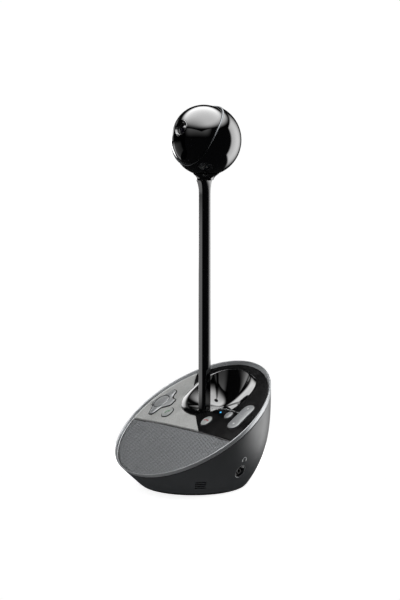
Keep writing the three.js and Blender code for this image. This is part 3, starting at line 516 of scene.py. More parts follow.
def ellipse(width: float, height: float, steps: int = 72) -> np.ndarray:
    """An ellipse about the origin, counter-clockwise."""
    angle = np.linspace(0, FULL_TURN, steps, endpoint=False)
    return np.stack([width / 2 * np.cos(angle), height / 2 * np.sin(angle)], -1)


def closed_spline(knots: Sequence[tuple[float, float]], per_knot: int = 8) -> np.ndarray:
    """A closed Catmull-Rom curve through the knots: each span blends four knots by cubic weights."""
    knots = np.array(knots, dtype=float)
    before, after, beyond = (np.roll(knots, shift, axis=0) for shift in (1, -1, -2))
    t = np.linspace(0, 1, per_knot, endpoint=False)[None, :, None]
    a, b, c, d = (k[:, None, :] for k in (before, knots, after, beyond))
    curve = 0.5 * (2 * b + (c - a) * t + (2 * a - 5 * b + 4 * c - d) * t**2 + (3 * b - a - 3 * c + d) * t**3)
    return curve.reshape(-1, 2)


def inset(outline: np.ndarray, distance: float) -> np.ndarray:
    """The outline moved inwards along its own normals."""
    along = np.roll(outline, -1, axis=0) - np.roll(outline, 1, axis=0)
    normal = np.stack([along[:, 1], -along[:, 0]], -1)
    length = np.linalg.norm(normal, axis=1, keepdims=True)
    return outline - distance * normal / np.maximum(length, 1e-9)


def cap_rows(
    outline: np.ndarray, centre: tuple[float, float], low: float, high: float, radius: float, crown: float
) -> tuple[np.ndarray, np.ndarray]:
    """Rows of a key cap: a straight side, a quarter-round edge, then a crowned top that shrinks inwards.

    Args:
        outline: the closed outline.
        centre: the point the top shrinks to.
        low: height of the underside.
        high: height of the top at its edge.
        radius: radius of the rounded edge.
        crown: how far the centre stands above that edge.

    Returns:
        The rows' flat points and their heights.
    """
    turn = np.linspace(0, math.pi / 2, 6)
    edge = [(inset(outline, radius * (1 - math.cos(a))), high - radius * (1 - math.sin(a))) for a in turn]
    inner = inset(outline, radius)
    middle = np.array(centre)
    shares = np.linspace(1, 0, 9)[1:]
    top = [(middle + (inner - middle) * s, high + crown * (1 - s * s)) for s in shares]
    rows = [(middle + (outline - middle) * 0.0, low), (outline, low), *edge, *top]
    return np.stack([r[0] for r in rows]), np.array([r[1] for r in rows])


def cap(name: str, rows: np.ndarray, heights: np.ndarray, place: Callable) -> bpy.types.Object:
    """A closed cap from rows of points, each placed at its height."""
    points = place(rows[..., 0], rows[..., 1], heights[:, None])
    faces = grid_faces(len(rows), rows.shape[1], False, True)
    return make_mesh(name, points, faces)


# ---------------------------------------------------------------- the base


@dataclass
class Base:
    """The sloping body: casing, rim, foot and what is set into its walls."""

    foot_radius: float = 54.5
    foot_back: float = 1.1
    foot_height: float = 2.2
    rim_radius: float = 79.9
    rim_rise: float = 2.8
    face_radius: float = 77.6
    wall: float = 3.0
    seam_depth: float = 5.2
    seam_swing: float = 2.1
    seat_in: float = 3.4
    seat_down: float = 2.0
    turns: int = 240
    jack: tuple[float, float, float] = (0.7, 23.9, 6.6)  # y, z and radius of the headphone recess
    port: tuple[float, float, float] = (34.0, 8.0, 18.0)  # width, low and high of the rear window
    mic_angle: float = math.radians(-36)
    mic_height: float = 13.0
    mic_width: float = 11.0
    mic_pitch: float = 2.3
    mic_slot: float = 1.1
    mic_rows: int = 4

    def rim_top(self, angle: np.ndarray) -> np.ndarray:
        """Height of the rim's top edge round the body."""
        return FACE.height + self.rim_rise + math.tan(FACE.tilt) * self.rim_radius * np.sin(angle)

    def seam(self, angle: np.ndarray) -> np.ndarray:
        """Height of the seam between casing and rim."""
        return self.rim_top(angle) - self.seam_depth - self.seam_swing * np.sin(angle)

    def outside(self, angle: np.ndarray, z: np.ndarray, inward: np.ndarray | float = 0.0) -> np.ndarray:
        """Points of the body's outside.

        The level radius goes from the foot's to the rim's as one minus a power of what is left of the height,
        and the power is low in front, where the wall is straight, and high behind, where it bulges.
        """
        share = z / self.rim_top(angle)
        power = 2.21 + 1.22 * np.sin(angle)
        radius = self.foot_radius + (self.rim_radius - self.foot_radius) * (1 - (1 - share) ** power) - inward
        y = self.foot_back * (1 - share) + radius * np.sin(angle)
        return np.stack([radius * np.cos(angle), y, z + 0 * angle], -1)

    def casing(self) -> bpy.types.Object:
        """The charcoal casing: the outside up to a rolled edge at the seam, and the inside wall."""
        angle = np.linspace(0, FULL_TURN, self.turns, endpoint=False)[:, None]
        top = self.seam(angle) - FACE.gap
        rise = np.linspace(0, 1, 56)[None, :]
        edge = 0.5
        z_out = self.foot_height + (top - edge - self.foot_height) * rise
        outer = self.outside(angle, z_out)
        turn = np.linspace(0, math.pi / 2, 5)[None, 1:]
        lip = self.outside(angle, top - edge + edge * np.sin(turn), edge * (1 - np.cos(turn)))
        z_in = self.foot_height + (top - self.foot_height) * np.linspace(1, 0, 20)[None, :]
        inner = self.outside(angle, z_in, self.wall)
        points = np.concatenate([outer, lip, inner], axis=1)
        piece = make_mesh("casing", points, grid_faces(self.turns, points.shape[1], True, True))
        cut(piece, [self.jack_cutter(), self.port_cutter(), *self.mic_cutters()], 30.0)
        return dress(piece, CASING, Body.BASE, ["base_shell"])

    def jack_cutter(self) -> bpy.types.Object:
        """A round bar through the side wall."""
        y, z, radius = self.jack
        outline = ellipse(2 * radius, 2 * radius, 48) + np.array([y, z])
        return prism(
            "jack_cutter", outline, 40, 90, lambda a, b, h: np.stack(np.broadcast_arrays(h, a, b), -1)
        )

    def port_cutter(self) -> bpy.types.Object:
        """A bar with rounded corners through the rear wall."""
        width, low, high = self.port
        outline = rounded_rect(width, high - low, 1.6, 6) + np.array([0, (low + high) / 2])
        return prism(
            "port_cutter", outline, 45, 90, lambda a, b, h: np.stack(np.broadcast_arrays(a, h, b), -1)
        )

    def mic_cutters(self) -> list[bpy.types.Object]:
        """Slim bars for the microphone's slots, square to the wall's plan angle."""
        centre = self.outside(np.array(self.mic_angle), np.array(self.mic_height))
        out = np.array([math.cos(self.mic_angle), math.sin(self.mic_angle), 0])
        side = np.array([-out[1], out[0], 0])
        up = np.array([0, 0, 1.0])

        def place(a: np.ndarray, b: np.ndarray, h: np.ndarray) -> np.ndarray:
            a, b, h = np.broadcast_arrays(a, b, h)
            return centre + a[..., None] * side + b[..., None] * up + h[..., None] * out

        rows = (np.arange(self.mic_rows) - (self.mic_rows - 1) / 2) * self.mic_pitch
        bar = rounded_rect(self.mic_width, self.mic_slot, self.mic_slot / 2 - 0.02, 4)
        return [
            prism(f"mic_cutter_{i}", bar + np.array([0, row]), -9, 8, place) for i, row in enumerate(rows)
        ]

    def rim(self) -> bpy.types.Object:
        """The painted rim: outside wall, a rolled top, a slope to the face, the seat and the underside."""
        angle = np.linspace(0, FULL_TURN, self.turns, endpoint=False)[:, None]

        def rise(radius: float, height: float) -> np.ndarray:
            y = radius * np.sin(angle)
            return np.stack([radius * np.cos(angle), y, FACE.z(y) + height], -1)

        low = self.seam(angle)
        high = self.rim_top(angle)
        edge = 0.35
        under = self.outside(angle, low + 0 * angle, edge)
        wall = self.outside(angle, low + edge + (high - 0.9 - low - edge) * np.linspace(0, 1, 10)[None, :])
        roll = [(self.rim_radius - 0.12, self.rim_rise - 0.35), (self.rim_radius - 0.5, self.rim_rise)]
        roll += [
            (self.rim_radius - 0.95, self.rim_rise - 0.02), (self.rim_radius - 1.4, self.rim_rise - 0.42)
        ]
        roll += [(self.face_radius + 0.25, 0.35), (self.face_radius, -0.05), (self.face_radius - 0.15, -0.5)]
        roll += [(self.face_radius - self.seat_in, -self.seat_down), (72.5, -3.9)]
        points = np.concatenate(
            [
                under, wall, *[rise(r, h) for r, h in roll], self.outside(angle, low, self.wall + FACE.gap)
            ], axis=1
        )
        piece = make_mesh("rim", points, grid_faces(self.turns, points.shape[1], True, True), 50.0)
        return dress(piece, RIM_PAINT, Body.BASE, ["bezel_ring"])

    def foot(self) -> bpy.types.Object:
        """The rubber foot: a ring with rounded edges under the casing."""
        angle = np.linspace(0, FULL_TURN, self.turns, endpoint=False)[:, None]
        top = self.foot_height - FACE.gap
        inner = self.foot_radius - self.wall
        profile = [
            (inner, 0.4), (inner + 0.4, 0.0), (self.foot_radius - 0.9, 0.0), (self.foot_radius - 0.4, 0.12)
        ]
        profile += [
            (self.foot_radius - 0.1, 0.45), (self.foot_radius, 0.9), (self.foot_radius, top), (inner, top)
        ]
        radius = np.array([p[0] for p in profile])[None, :]
        height = np.array([p[1] for p in profile])[None, :] + 0 * angle
        points = np.stack([radius * np.cos(angle), self.foot_back + radius * np.sin(angle), height], -1)
        piece = make_mesh("foot_pad", points, grid_faces(self.turns, len(profile), True, True), 50.0)
        return dress(piece, RUBBER, Body.BASE, ["foot_ring"])

    def socket_ring(self) -> bpy.types.Object:
        """The bright edge of the headphone recess: a slim bead that follows the curved wall."""
        y, z, radius = self.jack
        angle = np.linspace(0, FULL_TURN, 64, endpoint=False)[:, None]
        turn = np.linspace(0, FULL_TURN, 10, endpoint=False)[None, :]
        bead = 0.32
        ring = radius - 0.1 + bead * np.cos(turn)
        yy, zz = y + ring * np.cos(angle), z + ring * np.sin(angle)
        around = np.arctan2(yy, 68.0)
        surface = self.outside(around, zz)
        level = np.sqrt(
            surface[..., 0] ** 2 + (surface[..., 1] - self.foot_back * (1 - zz / self.rim_top(around))) ** 2
        )
        x = np.sqrt(np.maximum(level**2 - yy**2, 0)) - 0.25 + bead * np.sin(turn)
        points = np.stack([x, yy, zz], -1)
        piece = make_mesh("headphone_ring", points, grid_faces(64, 10, True, True))
        return dress(piece, KEY_GREY, Body.BASE)

    def headphone_mark(self) -> list[bpy.types.Object]:
        """A plain printed headphone sign above the socket: an arch with two pads."""
        centre_y, centre_z = self.jack[0], 36.6
        arch = np.linspace(0, math.pi, 20)
        middle = np.stack([2.5 * np.cos(arch), 2.6 * np.sin(arch)], -1)
        strokes = [ribbon(middle, 0.55)]
        for side in (-1, 1):
            strokes.append(ribbon(np.array([[side * 2.45, 0.5], [side * 2.45, -1.9]]), 1.25))
        made = []
        for index, flat in enumerate(strokes):
            y, z = centre_y + flat[..., 0], centre_z + flat[..., 1]
            around = np.arctan2(y, 74.0)
            surface = self.outside(around, z)
            surface[..., 0] += 0.06
            piece = make_mesh(f"headphone_mark_{index}", surface, grid_faces(*flat.shape[:2], False, False))
            solidify(piece, 0.05)
            made.append(dress(piece, INK_GREY, Body.BASE))
        return made

    def build(self) -> None:
        """Makes the casing, rim and foot, and dresses the carried-over pieces of the base."""
        self.casing()
        self.rim()
        self.foot()
        self.socket_ring()
        self.headphone_mark()
        for node in ("inner_deck", "stalk_socket"):
            recolour(node, SATIN_BLACK)
        for node in ("speaker_basket", "speaker_magnet", "microphone", "ballast_weight"):
            recolour(node, PLATED)
        for index in range(1, 5):
            recolour(f"bottom_screw_{index}", PLATED)
        recolour("speaker_cone", PULP)
        for node in ("key_board", "main_board"):
            recolour(node, MASKED)
        softened("bottom_plate", "underside_plate", SATIN_BLACK, Body.BASE, 0.3)
        softened("headphone_jack", "headphone_socket", SATIN_BLACK, Body.BASE, 0.25)
        softened("usb_port", "usb_socket", PLATED, Body.BASE, 0.15)
        softened("power_jack", "power_socket", SATIN_BLACK, Body.BASE, 0.25)


def ribbon(line: np.ndarray, width: float) -> np.ndarray:
    """A flat stroke of a width along a line: each point is moved half a width to both sides."""
    along = np.gradient(line, axis=0)
    normal = np.stack([-along[:, 1], along[:, 0]], -1)
    normal /= np.maximum(np.linalg.norm(normal, axis=1, keepdims=True), 1e-9)
    return np.stack([line - normal * width / 2, line + normal * width / 2], 1)


def solidify(piece: bpy.types.Object, thickness: float) -> None:
    """Gives an open sheet a thickness in millimetres, and applies it."""
    modifier = piece.modifiers.new("thickness", "SOLIDIFY")
    modifier.thickness = thickness * MM
    modifier.offset = 0.0
    apply_modifiers(piece)


# ---------------------------------------------------------------- the face


@dataclass
class SpeakerGrille:
    """The perforated sheet in front of the loudspeaker, with its folded edge."""

    radius: float = 77.15
    chord: float = -15.0
    chord_sag: float = 2.8
    chord_reach: float = 74.0
    gap: float = 0.35
    pitch: float = 1.9
    hole: float = 0.62  # radius of a hole
    sheet: float = 0.7
    crown: float = 0.5
    edge: float = 1.3
    sides: int = 12

    def top_v(self, x: np.ndarray) -> np.ndarray:
        """The grille's upper edge: a shallow arc that sags to both sides."""
        return self.chord - self.chord_sag * (x / self.chord_reach) ** 2 - self.gap

    def outline(self) -> np.ndarray:
        """The closed outline in face coordinates: the rim's ellipse below, the shallow arc above."""
        stretch = 1 / math.cos(FACE.tilt)
        angle = np.linspace(0, FULL_TURN, 721)
        rim = np.stack([self.radius * np.cos(angle), stretch * self.radius * np.sin(angle)], -1)
        lower = rim[rim[:, 1] < self.top_v(rim[:, 0]) - 0.05]
        x = np.linspace(lower[-1, 0], lower[0, 0], 60)[1:-1]
        return np.concatenate([lower, np.stack([x, self.top_v(x)], -1)])

    def height(self, x: np.ndarray, v: np.ndarray) -> np.ndarray:
        """A slight crown: highest in the middle of the sheet and level with the face at its edge."""
        bow = np.clip(1 - (x / 80) ** 2 - ((v + 52) / 44) ** 2, 0, 1)
        return -0.55 + self.crown * bow

    def distance(self, x: np.ndarray, v: np.ndarray) -> np.ndarray:
        """About how far a point lies inside the outline."""
        plan = np.hypot(x, v * math.cos(FACE.tilt))
        return np.minimum((self.radius - plan), self.top_v(x) - v)

    def build(self) -> None:
        """A honeycomb of cells, each a ring from its six-sided border to its hole, and the folded edge."""
        row_step = self.pitch * math.sqrt(3) / 2
        rows = np.arange(-60, 60)
        columns = np.arange(-60, 60)
        row, column = np.meshgrid(rows, columns, indexing="ij")
        x = (column + 0.5 * (row % 2)) * self.pitch
        v = self.chord - 38 + row * row_step
        keep = self.distance(x, v) > self.edge * 0.75 + self.pitch * 0.3
        x, v = x[keep][:, None], v[keep][:, None]
        angle = np.linspace(0, FULL_TURN, self.sides, endpoint=False)[None, :] + math.pi / 6
        folded = (angle - math.pi / 6) % (math.pi / 3) - math.pi / 6
        cell = self.pitch / 2 / np.cos(folded)
        rings = []
        for radius, drop in ((cell, 0.0), (0 * cell + self.hole + 0.08, 0.0), (0 * cell + self.hole, 0.1),
                             (0 * cell + self.hole, self.sheet)):
            px, pv = x + radius * np.cos(angle), v + radius * np.sin(angle)
            rings.append(FACE.place(px, pv, self.height(px, pv) - drop))
        points = np.stack(rings, axis=1)
        cells = len(x)
        quads = grid_faces(4, self.sides, False, True)
        faces = (quads[None] + 4 * self.sides * np.arange(cells)[:, None, None]).reshape(-1, 4)
        sheet = bpy.data.meshes.new("grille_sheet")
        sheet.from_pydata((points.reshape(-1, 3) * MM).tolist(), [], faces.tolist())
        work = bmesh.new()
        work.from_mesh(sheet)
        bmesh.ops.remove_doubles(work, verts=work.verts, dist=0.02 * MM)
        work.to_mesh(sheet)
        work.free()
        piece = bpy.data.objects.new("grille_sheet", sheet)
        bpy.context.scene.collection.objects.link(piece)
        smooth(piece, 40.0)
        dress(piece, GRILLE_COAT, Body.BASE, ["speaker_grille"])
        self.folded_edge()

    def folded_edge(self) -> None:
        """The sheet's edge, folded down: a slim rounded band along the outline, in satin black as painted
        shade for the dark groove between grille and rim.
        """
        outline = self.outline()
        profile = [
            (0.25, -1.7), (0.02, -0.9), (0.1, -0.55), (0.35, -0.42), (0.8, -0.4), (self.edge, -0.44),
            (self.edge + 0.2, -0.9)
        ]
        rows = [FACE.place(*inset(outline, d).T, h) for d, h in profile]
        points = np.stack(rows)
        piece = make_mesh("grille_edge", points, grid_faces(len(profile), len(outline), True, True), 60.0)
        # satin black here is painted shade: it darkens the groove round the grille
        dress(piece, SATIN_BLACK, Body.BASE)


@dataclass
class FacePanels:
    """The flat panels above the grille, and the bright strip between the black ones."""

    rounding: float = 0.28

    def build(self) -> None:
        """Rounds the panels' edges, so that each seam catches a little light."""
        softened("silver_panel", "silver_cover", SILVER_PAINT, Body.BASE, self.rounding)
        softened("key_panel", "black_key_cover", PANEL_BLACK, Body.BASE, self.rounding)
        softened("rear_panel", "black_rear_cover", PANEL_BLACK, Body.BASE, self.rounding)
        softened("trim_strip", "bright_strip", TRIM, Body.BASE, 0.12)
        softened("status_led", "blue_lamp", BLUE_PIPE, Body.BASE, 0.12)


@dataclass
class Keys:
    """Every key on the face."""

    up: float = 1.3
    down: float = -3.0
    cap_side: float = 0.35
    rounding: float = 0.45
    shade_band_gap: float = 0.28  # between a key and the black band of painted shade round it
    shade_band: float = 0.95  # how far that band reaches from the key
    well_gap: float = 0.75  # between the centre key and the direction key
    dpad_outline: tuple = (
        (-61.8, -6.4), (-58.1, -7.8), (-55.7, -5.3), (-53.3, 3.6), (-48.8, 7.2), (-44.7, 11.3), (-45.4, 19.4),
        (-50, 21.2), (-53.1, 24), (-55.4, 31.3), (-58.8, 33.2), (-61.9, 32.3), (-65.7, 22.9), (-68.6, 19.2),
        (-70.6, 15.2), (-70.9, 9.6), (-69.6, 6.4), (-66.9, 4.4), (-63.7, -1.8),
    )
    centre_key: tuple[float, float, float, float] = (15.0, 19.0, -61.0, 13.0)  # width, height, x, v
    answer: tuple[float, float, float, float] = (11.0, 14.0, -39.0, 0.0)
    hang_up: tuple[float, float, float, float] = (10.5, 13.7, 21.0, 0.0)
    mute: tuple[float, float, float, float] = (8.5, 10.0, 40.7, 14.1)
    volume: tuple[float, float, float, float] = (13.5, 36.5, 57.6, 15.3)

    def key(
        self, name: str, outline: np.ndarray, centre: tuple, crown: float, look: tuple[
            Finish, Slot
        ], body: Body,
        node: str,
    ) -> bpy.types.Object:
        """A key in two pieces: a painted cap with a rounded edge, and the black skirt that carries it, whose
        black is painted shade on the key's lower sides.

        Args:
            name: the cap's name.
            outline: the key's outline in face coordinates.
            centre: the point the top shrinks to.
            crown: how far the top bulges.
            look: the cap's finish, and a slot that is not used.
            body: the body it rides on.
            node: the CAD node it stands for.

        Returns:
            The cap.
        """
        edge = self.up - crown
        rows, heights = cap_rows(outline, centre, edge - self.cap_side, edge, self.rounding, crown)
        made = dress(cap(name, rows, heights, FACE.place), look[0], body, [node])
        rows, heights = cap_rows(
            inset(outline, 0.12), centre, self.down, edge - self.cap_side - 0.02, 0.05, 0.0
        )
        # the skirt's satin black is painted shade: it darkens the key's lower sides under the cap
        dress(cap(f"{name}_skirt", rows, heights, FACE.place), SATIN_BLACK, body)
        return made

    def oval(
        self, name: str, size: tuple, crown: float, look: tuple[Finish, Slot], body: Body, node: str
    ) -> None:
        """An oval key."""
        width, height, x, v = size
        self.key(name, ellipse(width, height) + np.array([x, v]), (x, v), crown, look, body, node)

    def dpad(self) -> None:
        """The four-way key: a cap and a skirt round a well for the centre key, with sloping arms; the skirt's
        black is painted shade on the key's sides and in the well.
        """
        outline = inset(closed_spline(self.dpad_outline, 8), 0.4)
        width, height, x, v = self.centre_key
        offset = (outline - [x, v]) / [width, height]
        toward = np.arctan2(offset[:, 1], offset[:, 0])
        reach = np.array([width, height]) / 2 + self.well_gap
        well = np.array([x, v]) + reach * np.stack([np.cos(toward), np.sin(toward)], -1)
        crown = 0.45
        edge = self.up - crown
        low = edge - self.cap_side
        inner = inset(outline, self.rounding)
        rows = [(outline, low)]
        for a in np.linspace(0, math.pi / 2, 6):
            rows.append(
                (inset(outline, self.rounding * (1 - math.cos(a))), edge - self.rounding * (1 - math.sin(a)))
            )
        rows += [(well + (inner - well) * s, edge + crown * (1 - s * s)) for s in np.linspace(1, 0.06, 9)[1:]]
        rows += [(well, self.up - 0.08), (well, low)]
        pieces = [("direction_key", rows, KEY_GREY, Slot.KEYS, ["dpad_key"])]
        skirt = inset(outline, 0.12)
        rows = [(skirt, self.down), (skirt, low - 0.02), (well, low - 0.02), (well, self.down)]
        # this skirt's satin black is painted shade on the key's sides and round the centre key's well
        pieces.append(("direction_skirt", rows, SATIN_BLACK, Slot.MATTE, []))
        for name, rows, finish, slot, nodes in pieces:
            flat, heights = np.stack([row[0] for row in rows]), np.array([row[1] for row in rows])
            points = FACE.place(flat[..., 0], flat[..., 1], heights[:, None])
            piece = make_mesh(name, points, grid_faces(len(rows), len(outline), True, True))
            dress(piece, finish, Body.DPAD, nodes)
        outline = ellipse(width, height) + np.array([x, v])
        rows, heights = cap_rows(outline, (x, v), -0.5, self.up - 0.15, 0.5, 0.3)
        dress(
            cap("middle_key", rows, heights, FACE.place), KEY_GREY, Body.CENTRE_KEY, ["centre_key"]
        )

    def volume_key(self) -> None:
        """The long rocker with round ends, crowned across its width."""
        width, height, x, v = self.volume
        outline = rounded_rect(width, height, width / 2 - 0.01, 16) + np.array([x, v])
        self.key("volume_key", outline, (x, v), 0.35, (KEY_GREY, Slot.KEYS), Body.VOLUME, "volume_rocker")

    def mark(self, name: str, flat: np.ndarray, height: float, ink: Finish, body: Body) -> None:
        """A printed mark: a thin stroke laid on a key at a height."""
        points = FACE.place(flat[..., 0], flat[..., 1], height)
        piece = make_mesh(name, points, grid_faces(*flat.shape[:2], False, False))
        solidify(piece, 0.06)
        dress(piece, ink, body)

    def handset(self, x: float, v: float, turn: float) -> np.ndarray:
        """A plain handset sign: a bowed bar, thick at its two ends."""
        t = np.linspace(-1, 1, 17)
        line = np.stack([2.7 * t, 1.1 * (1 - t**2) - 0.4], -1)
        width = 0.55 + 0.75 * np.abs(t) ** 4
        cosine, sine = math.cos(turn), math.sin(turn)
        line = line @ np.array([[cosine, sine], [-sine, cosine]])
        along = np.gradient(line, axis=0)
        normal = np.stack([-along[:, 1], along[:, 0]], -1)
        normal /= np.linalg.norm(normal, axis=1, keepdims=True)
        offset = normal * width[:, None]
        return np.stack([line - offset, line + offset], 1) + np.array([x, v])

    def surround(self, name: str, outline: np.ndarray) -> None:
        """A black band of painted shade in the gap round a key: a flat closed band just over the face."""
        line = np.vstack([outline, outline[:1]])
        flat = np.stack([inset(line[:-1], -self.shade_band_gap), inset(line[:-1], -self.shade_band)], 1)
        points = FACE.place(flat[..., 0], flat[..., 1], 0.05)
        piece = make_mesh(name, points, grid_faces(*flat.shape[:2], True, False))
        solidify(piece, 0.08)
        # painted shade: a black band laid in the gap, where the key's shadow falls
        dress(piece, RUBBER, Body.BASE)

    def surrounds(self) -> None:
        """A band of painted shade round each key."""
        self.surround("direction_gasket", closed_spline(self.dpad_outline, 8))
        for name, key in (("answer", self.answer), ("hangup", self.hang_up), ("mute", self.mute)):
            self.surround(f"{name}_gasket", ellipse(key[0], key[1]) + np.array(key[2:]))
        width, height, x, v = self.volume
        self.surround("volume_gasket", rounded_rect(width, height, width / 2 - 0.01, 16) + np.array([x, v]))

    def marks(self) -> None:
        """The generic signs on the keys."""
        top = self.up + 0.03
        self.mark("answer_mark", self.handset(-39.0, 0.0, 0.8), top, INK_GREEN, Body.ANSWER)
        self.mark("hangup_mark", self.handset(21.0, 0.0, 0.0), top, INK_RED, Body.HANG_UP)
        angle = np.linspace(0, FULL_TURN, 25)
        for name, v in (("volume_dot_low", 3.8), ("volume_dot_high", 27.4)):
            dot = np.stack(
                [np.stack([57.6 + r * np.cos(angle), v + r * np.sin(angle)], -1) for r in (0.05, 1.1)], 1
            )
            self.mark(name, dot, top - 0.12, INK_WHITE, Body.VOLUME)

    def build(self) -> None:
        """Makes the keys and their signs."""
        self.dpad()
        self.volume_key()
        pale = (KEY_PALE, Slot.PALE_KEYS)
        self.oval("answer_key", self.answer, 0.35, pale, Body.ANSWER, "answer_button")
        self.oval("hangup_key", self.hang_up, 0.35, pale, Body.HANG_UP, "hangup_button")
        self.oval("mute_key", self.mute, 0.3, (KEY_GREY, Slot.KEYS), Body.MUTE, "mute_button")
        self.surrounds()
        self.marks()
        recolour("dpad_stem", SATIN_BLACK)


# ---------------------------------------------------------------- the cradle


@dataclass
class Cradle:
    """The polished bowl behind the keys, in which the stalk stands."""

    lip: tuple[float, float, float] = (40.5, 38.0, 42.0)  # half width, half length and centre up the slope
    crest: tuple[float, float, float] = (31.0, 34.6, 42.6)
    power: float = 2.4
    crest_rise: float = 2.6
    floor: float = 71.4
    floor_power: float = 2.4
    wall: float = 2.0
    stalk_y: float = 16.5
    key_edge: tuple = (
        (-3.4, 5.2), (-3.2, 5.4), (4.1, 9), (14.4, 14.1), (20.5, 20.5), (33.3, 21.2), (40.8, 21), (47.8, 19.7),
        (90, 20.2),
    )
    strip: float = 1.8  # the strip and its gaps, beside the key panel's rear edge

    def outline(self, size: tuple[float, float, float], angle: np.ndarray) -> tuple[np.ndarray, np.ndarray]:
        """Plan points of a squarish oval: powers of cosine and sine, with the slope's cosine on v."""
        bend = lambda value: np.sign(value) * np.abs(value) ** (2 / self.power)
        x = size[0] * bend(np.cos(angle))
        v = size[2] + size[1] * bend(np.sin(angle))
        return x, v * math.cos(FACE.tilt)

    def build(self) -> None:
        """The bowl from its floor over the crest to the lip's foot, its underside, and its cuts."""
        turns = 200
        angle = np.linspace(0, FULL_TURN, turns, endpoint=False)[:, None]
        crest_x, crest_y = self.outline(self.crest, angle)
        foot_x, foot_y = self.outline(self.lip, angle)
        middle_y = self.crest[2] * math.cos(FACE.tilt)
        crest_z = FACE.z(crest_y) + self.crest_rise
        share = np.linspace(0, 1, 40)[None, :]
        inside_z = self.floor + (crest_z - self.floor) * share**self.floor_power
        inside = np.stack([crest_x * share, middle_y + (crest_y - middle_y) * share, inside_z], -1)
        down = np.linspace(0, 1, 14)[None, 1:]
        lip_x, lip_y = crest_x + (foot_x - crest_x) * down, crest_y + (foot_y - crest_y) * down
        lip_z = FACE.z(lip_y) + 0.1 + (self.crest_rise - 0.1) * np.cos(down * math.pi / 2)
        lip = np.stack([lip_x, lip_y, lip_z], -1)
        foot = np.stack([foot_x, foot_y, FACE.z(foot_y) - FACE.panel], -1)
        out = 1 + 0.04 * share[:, ::-2] ** 2
        under_share = share[:, ::-2]
        under = np.stack(
            [
                crest_x * under_share * out,
                middle_y + (crest_y - middle_y) * under_share * out,
                self.floor + (crest_z - self.floor) * under_share**self.floor_power - self.wall,
            ],
            -1,
        )
        points = np.concatenate([inside, lip, foot, under], axis=1)
        piece = make_mesh("cradle", points, grid_faces(turns, points.shape[1], True, False), 50.0)
        stalk = rounded_rect(11.5, 12.0, 3.8) + np.array([0, self.stalk_y])
        cutters = [
            prism("stalk_cutter", stalk, 40, 100, lambda a, b, h: np.stack(np.broadcast_arrays(a, b, h), -1)),
            self.key_cutter(),
        ]
        cut(piece, cutters, 40.0)
        dress(piece, PIANO_BLACK, Body.BASE, ["cradle_bowl"])

    def key_cutter(self) -> bpy.types.Object:
        """The space of the key panel and its strip, upwards from the panel's underside."""
        edge = np.array(self.key_edge, dtype=float)
        edge[2:, 1] += 0.7
        edge[5:, 1] += self.strip - 0.7
        outline = np.concatenate([[[1.2, 3.4]], edge, [[90.0, -30.0], [8.0, -30.0]]])
        outline[:, 1] *= math.cos(FACE.tilt)

        def place(a: np.ndarray, b: np.ndarray, h: np.ndarray) -> np.ndarray:
            a, b, h = np.broadcast_arrays(a, b, h)
            return np.stack([a, b, FACE.z(b) + h], -1)

        return prism("key_cutter", outline, -FACE.panel - FACE.gap, 20.0, place)


# ---------------------------------------------------------------- the stalk


@dataclass
class Stalk:
    """The slim upright: a rounded square that tapers upwards and flares into the neck."""

    axis_y: float = 16.5
    width: float = 10.3
    depth: float = 10.8
    corner: float = 3.2
    bottom: float = 69.9
    top: float = 310.1
    latch: tuple[float, float, float] = (4.6, 84.0, 119.0)  # width, low and high
    latch_proud: float = 1.2

    def scale(self, z: np.ndarray) -> np.ndarray:
        """Size of the section: an even taper, and a flare that grows as the cube over the last 15 mm."""
        share = (z - self.bottom) / (self.top - self.bottom)
        flare = np.clip((z - (self.top - 15)) / 15, 0, 1)
        return 1.02 - 0.052 * share + 0.335 * flare**2.4

    def build(self) -> None:
        """The tube, its latch, the plug at its foot and the cable inside."""
        outline = rounded_rect(self.width, self.depth, self.corner, 12)
        z = np.concatenate(
            [np.linspace(self.bottom, self.top - 15, 40), np.linspace(self.top - 15, self.top, 24)[1:]]
        )
        size = self.scale(z)[:, None, None]
        flare = np.clip((z - (self.top - 15)) / 15, 0, 1)[:, None]
        flat = outline[None] * size
        points = np.stack(
            [flat[..., 0], self.axis_y - 0.7 * flare**2.4 + flat[..., 1], z[:, None] + 0 * flat[..., 0]], -1
        )
        count = len(outline)
        faces = grid_faces(len(z), count, False, True).tolist()
        faces += [list(range(count)), list(range((len(z) - 1) * count, len(z) * count))]
        piece = make_mesh("upright", points, faces)
        level = lambda a, b, h: np.stack(np.broadcast_arrays(a, b, h), -1)
        width, low, high = self.latch
        pocket = rounded_rect(width + 0.7, high - low + 0.7, 1.6, 5) + np.array([0, (low + high) / 2])
        behind = lambda a, b, h: np.stack(np.broadcast_arrays(a, h, b), -1)
        channel = rounded_rect(self.width - 3.4, self.depth - 3.4, 1.5, 5) + np.array([0, self.axis_y])
        cutters = [
            prism("channel", channel, 60, 320, level),
            prism("latch_pocket", pocket, self.axis_y + 2.0, 40, behind)
        ]
        cut(piece, cutters, 40.0)
        dress(piece, PIANO_BLACK, Body.STALK, ["stalk_tube"])
        self.latch_piece(behind)
        softened("stalk_plug", "upright_plug", SATIN_BLACK, Body.STALK, 0.3)
        recolour("stalk_cable", RUBBER)

    def latch_piece(self, behind: Callable) -> None:
        """The release latch: a long oval bar with a rounded, crowned back."""
        width, low, high = self.latch
        outline = rounded_rect(width, high - low, 1.4, 5) + np.array([0, (low + high) / 2])
        face = self.axis_y + self.depth / 2
        rows, heights = cap_rows(
            outline, (0, (low + high) / 2), face - 2.6, face + self.latch_proud - 0.2, 0.5, 0.2
        )
        dress(
            cap("release_latch", rows, heights, behind), SATIN_BLACK, Body.LATCH, ["stalk_latch"]
        )


# ---------------------------------------------------------------- the head


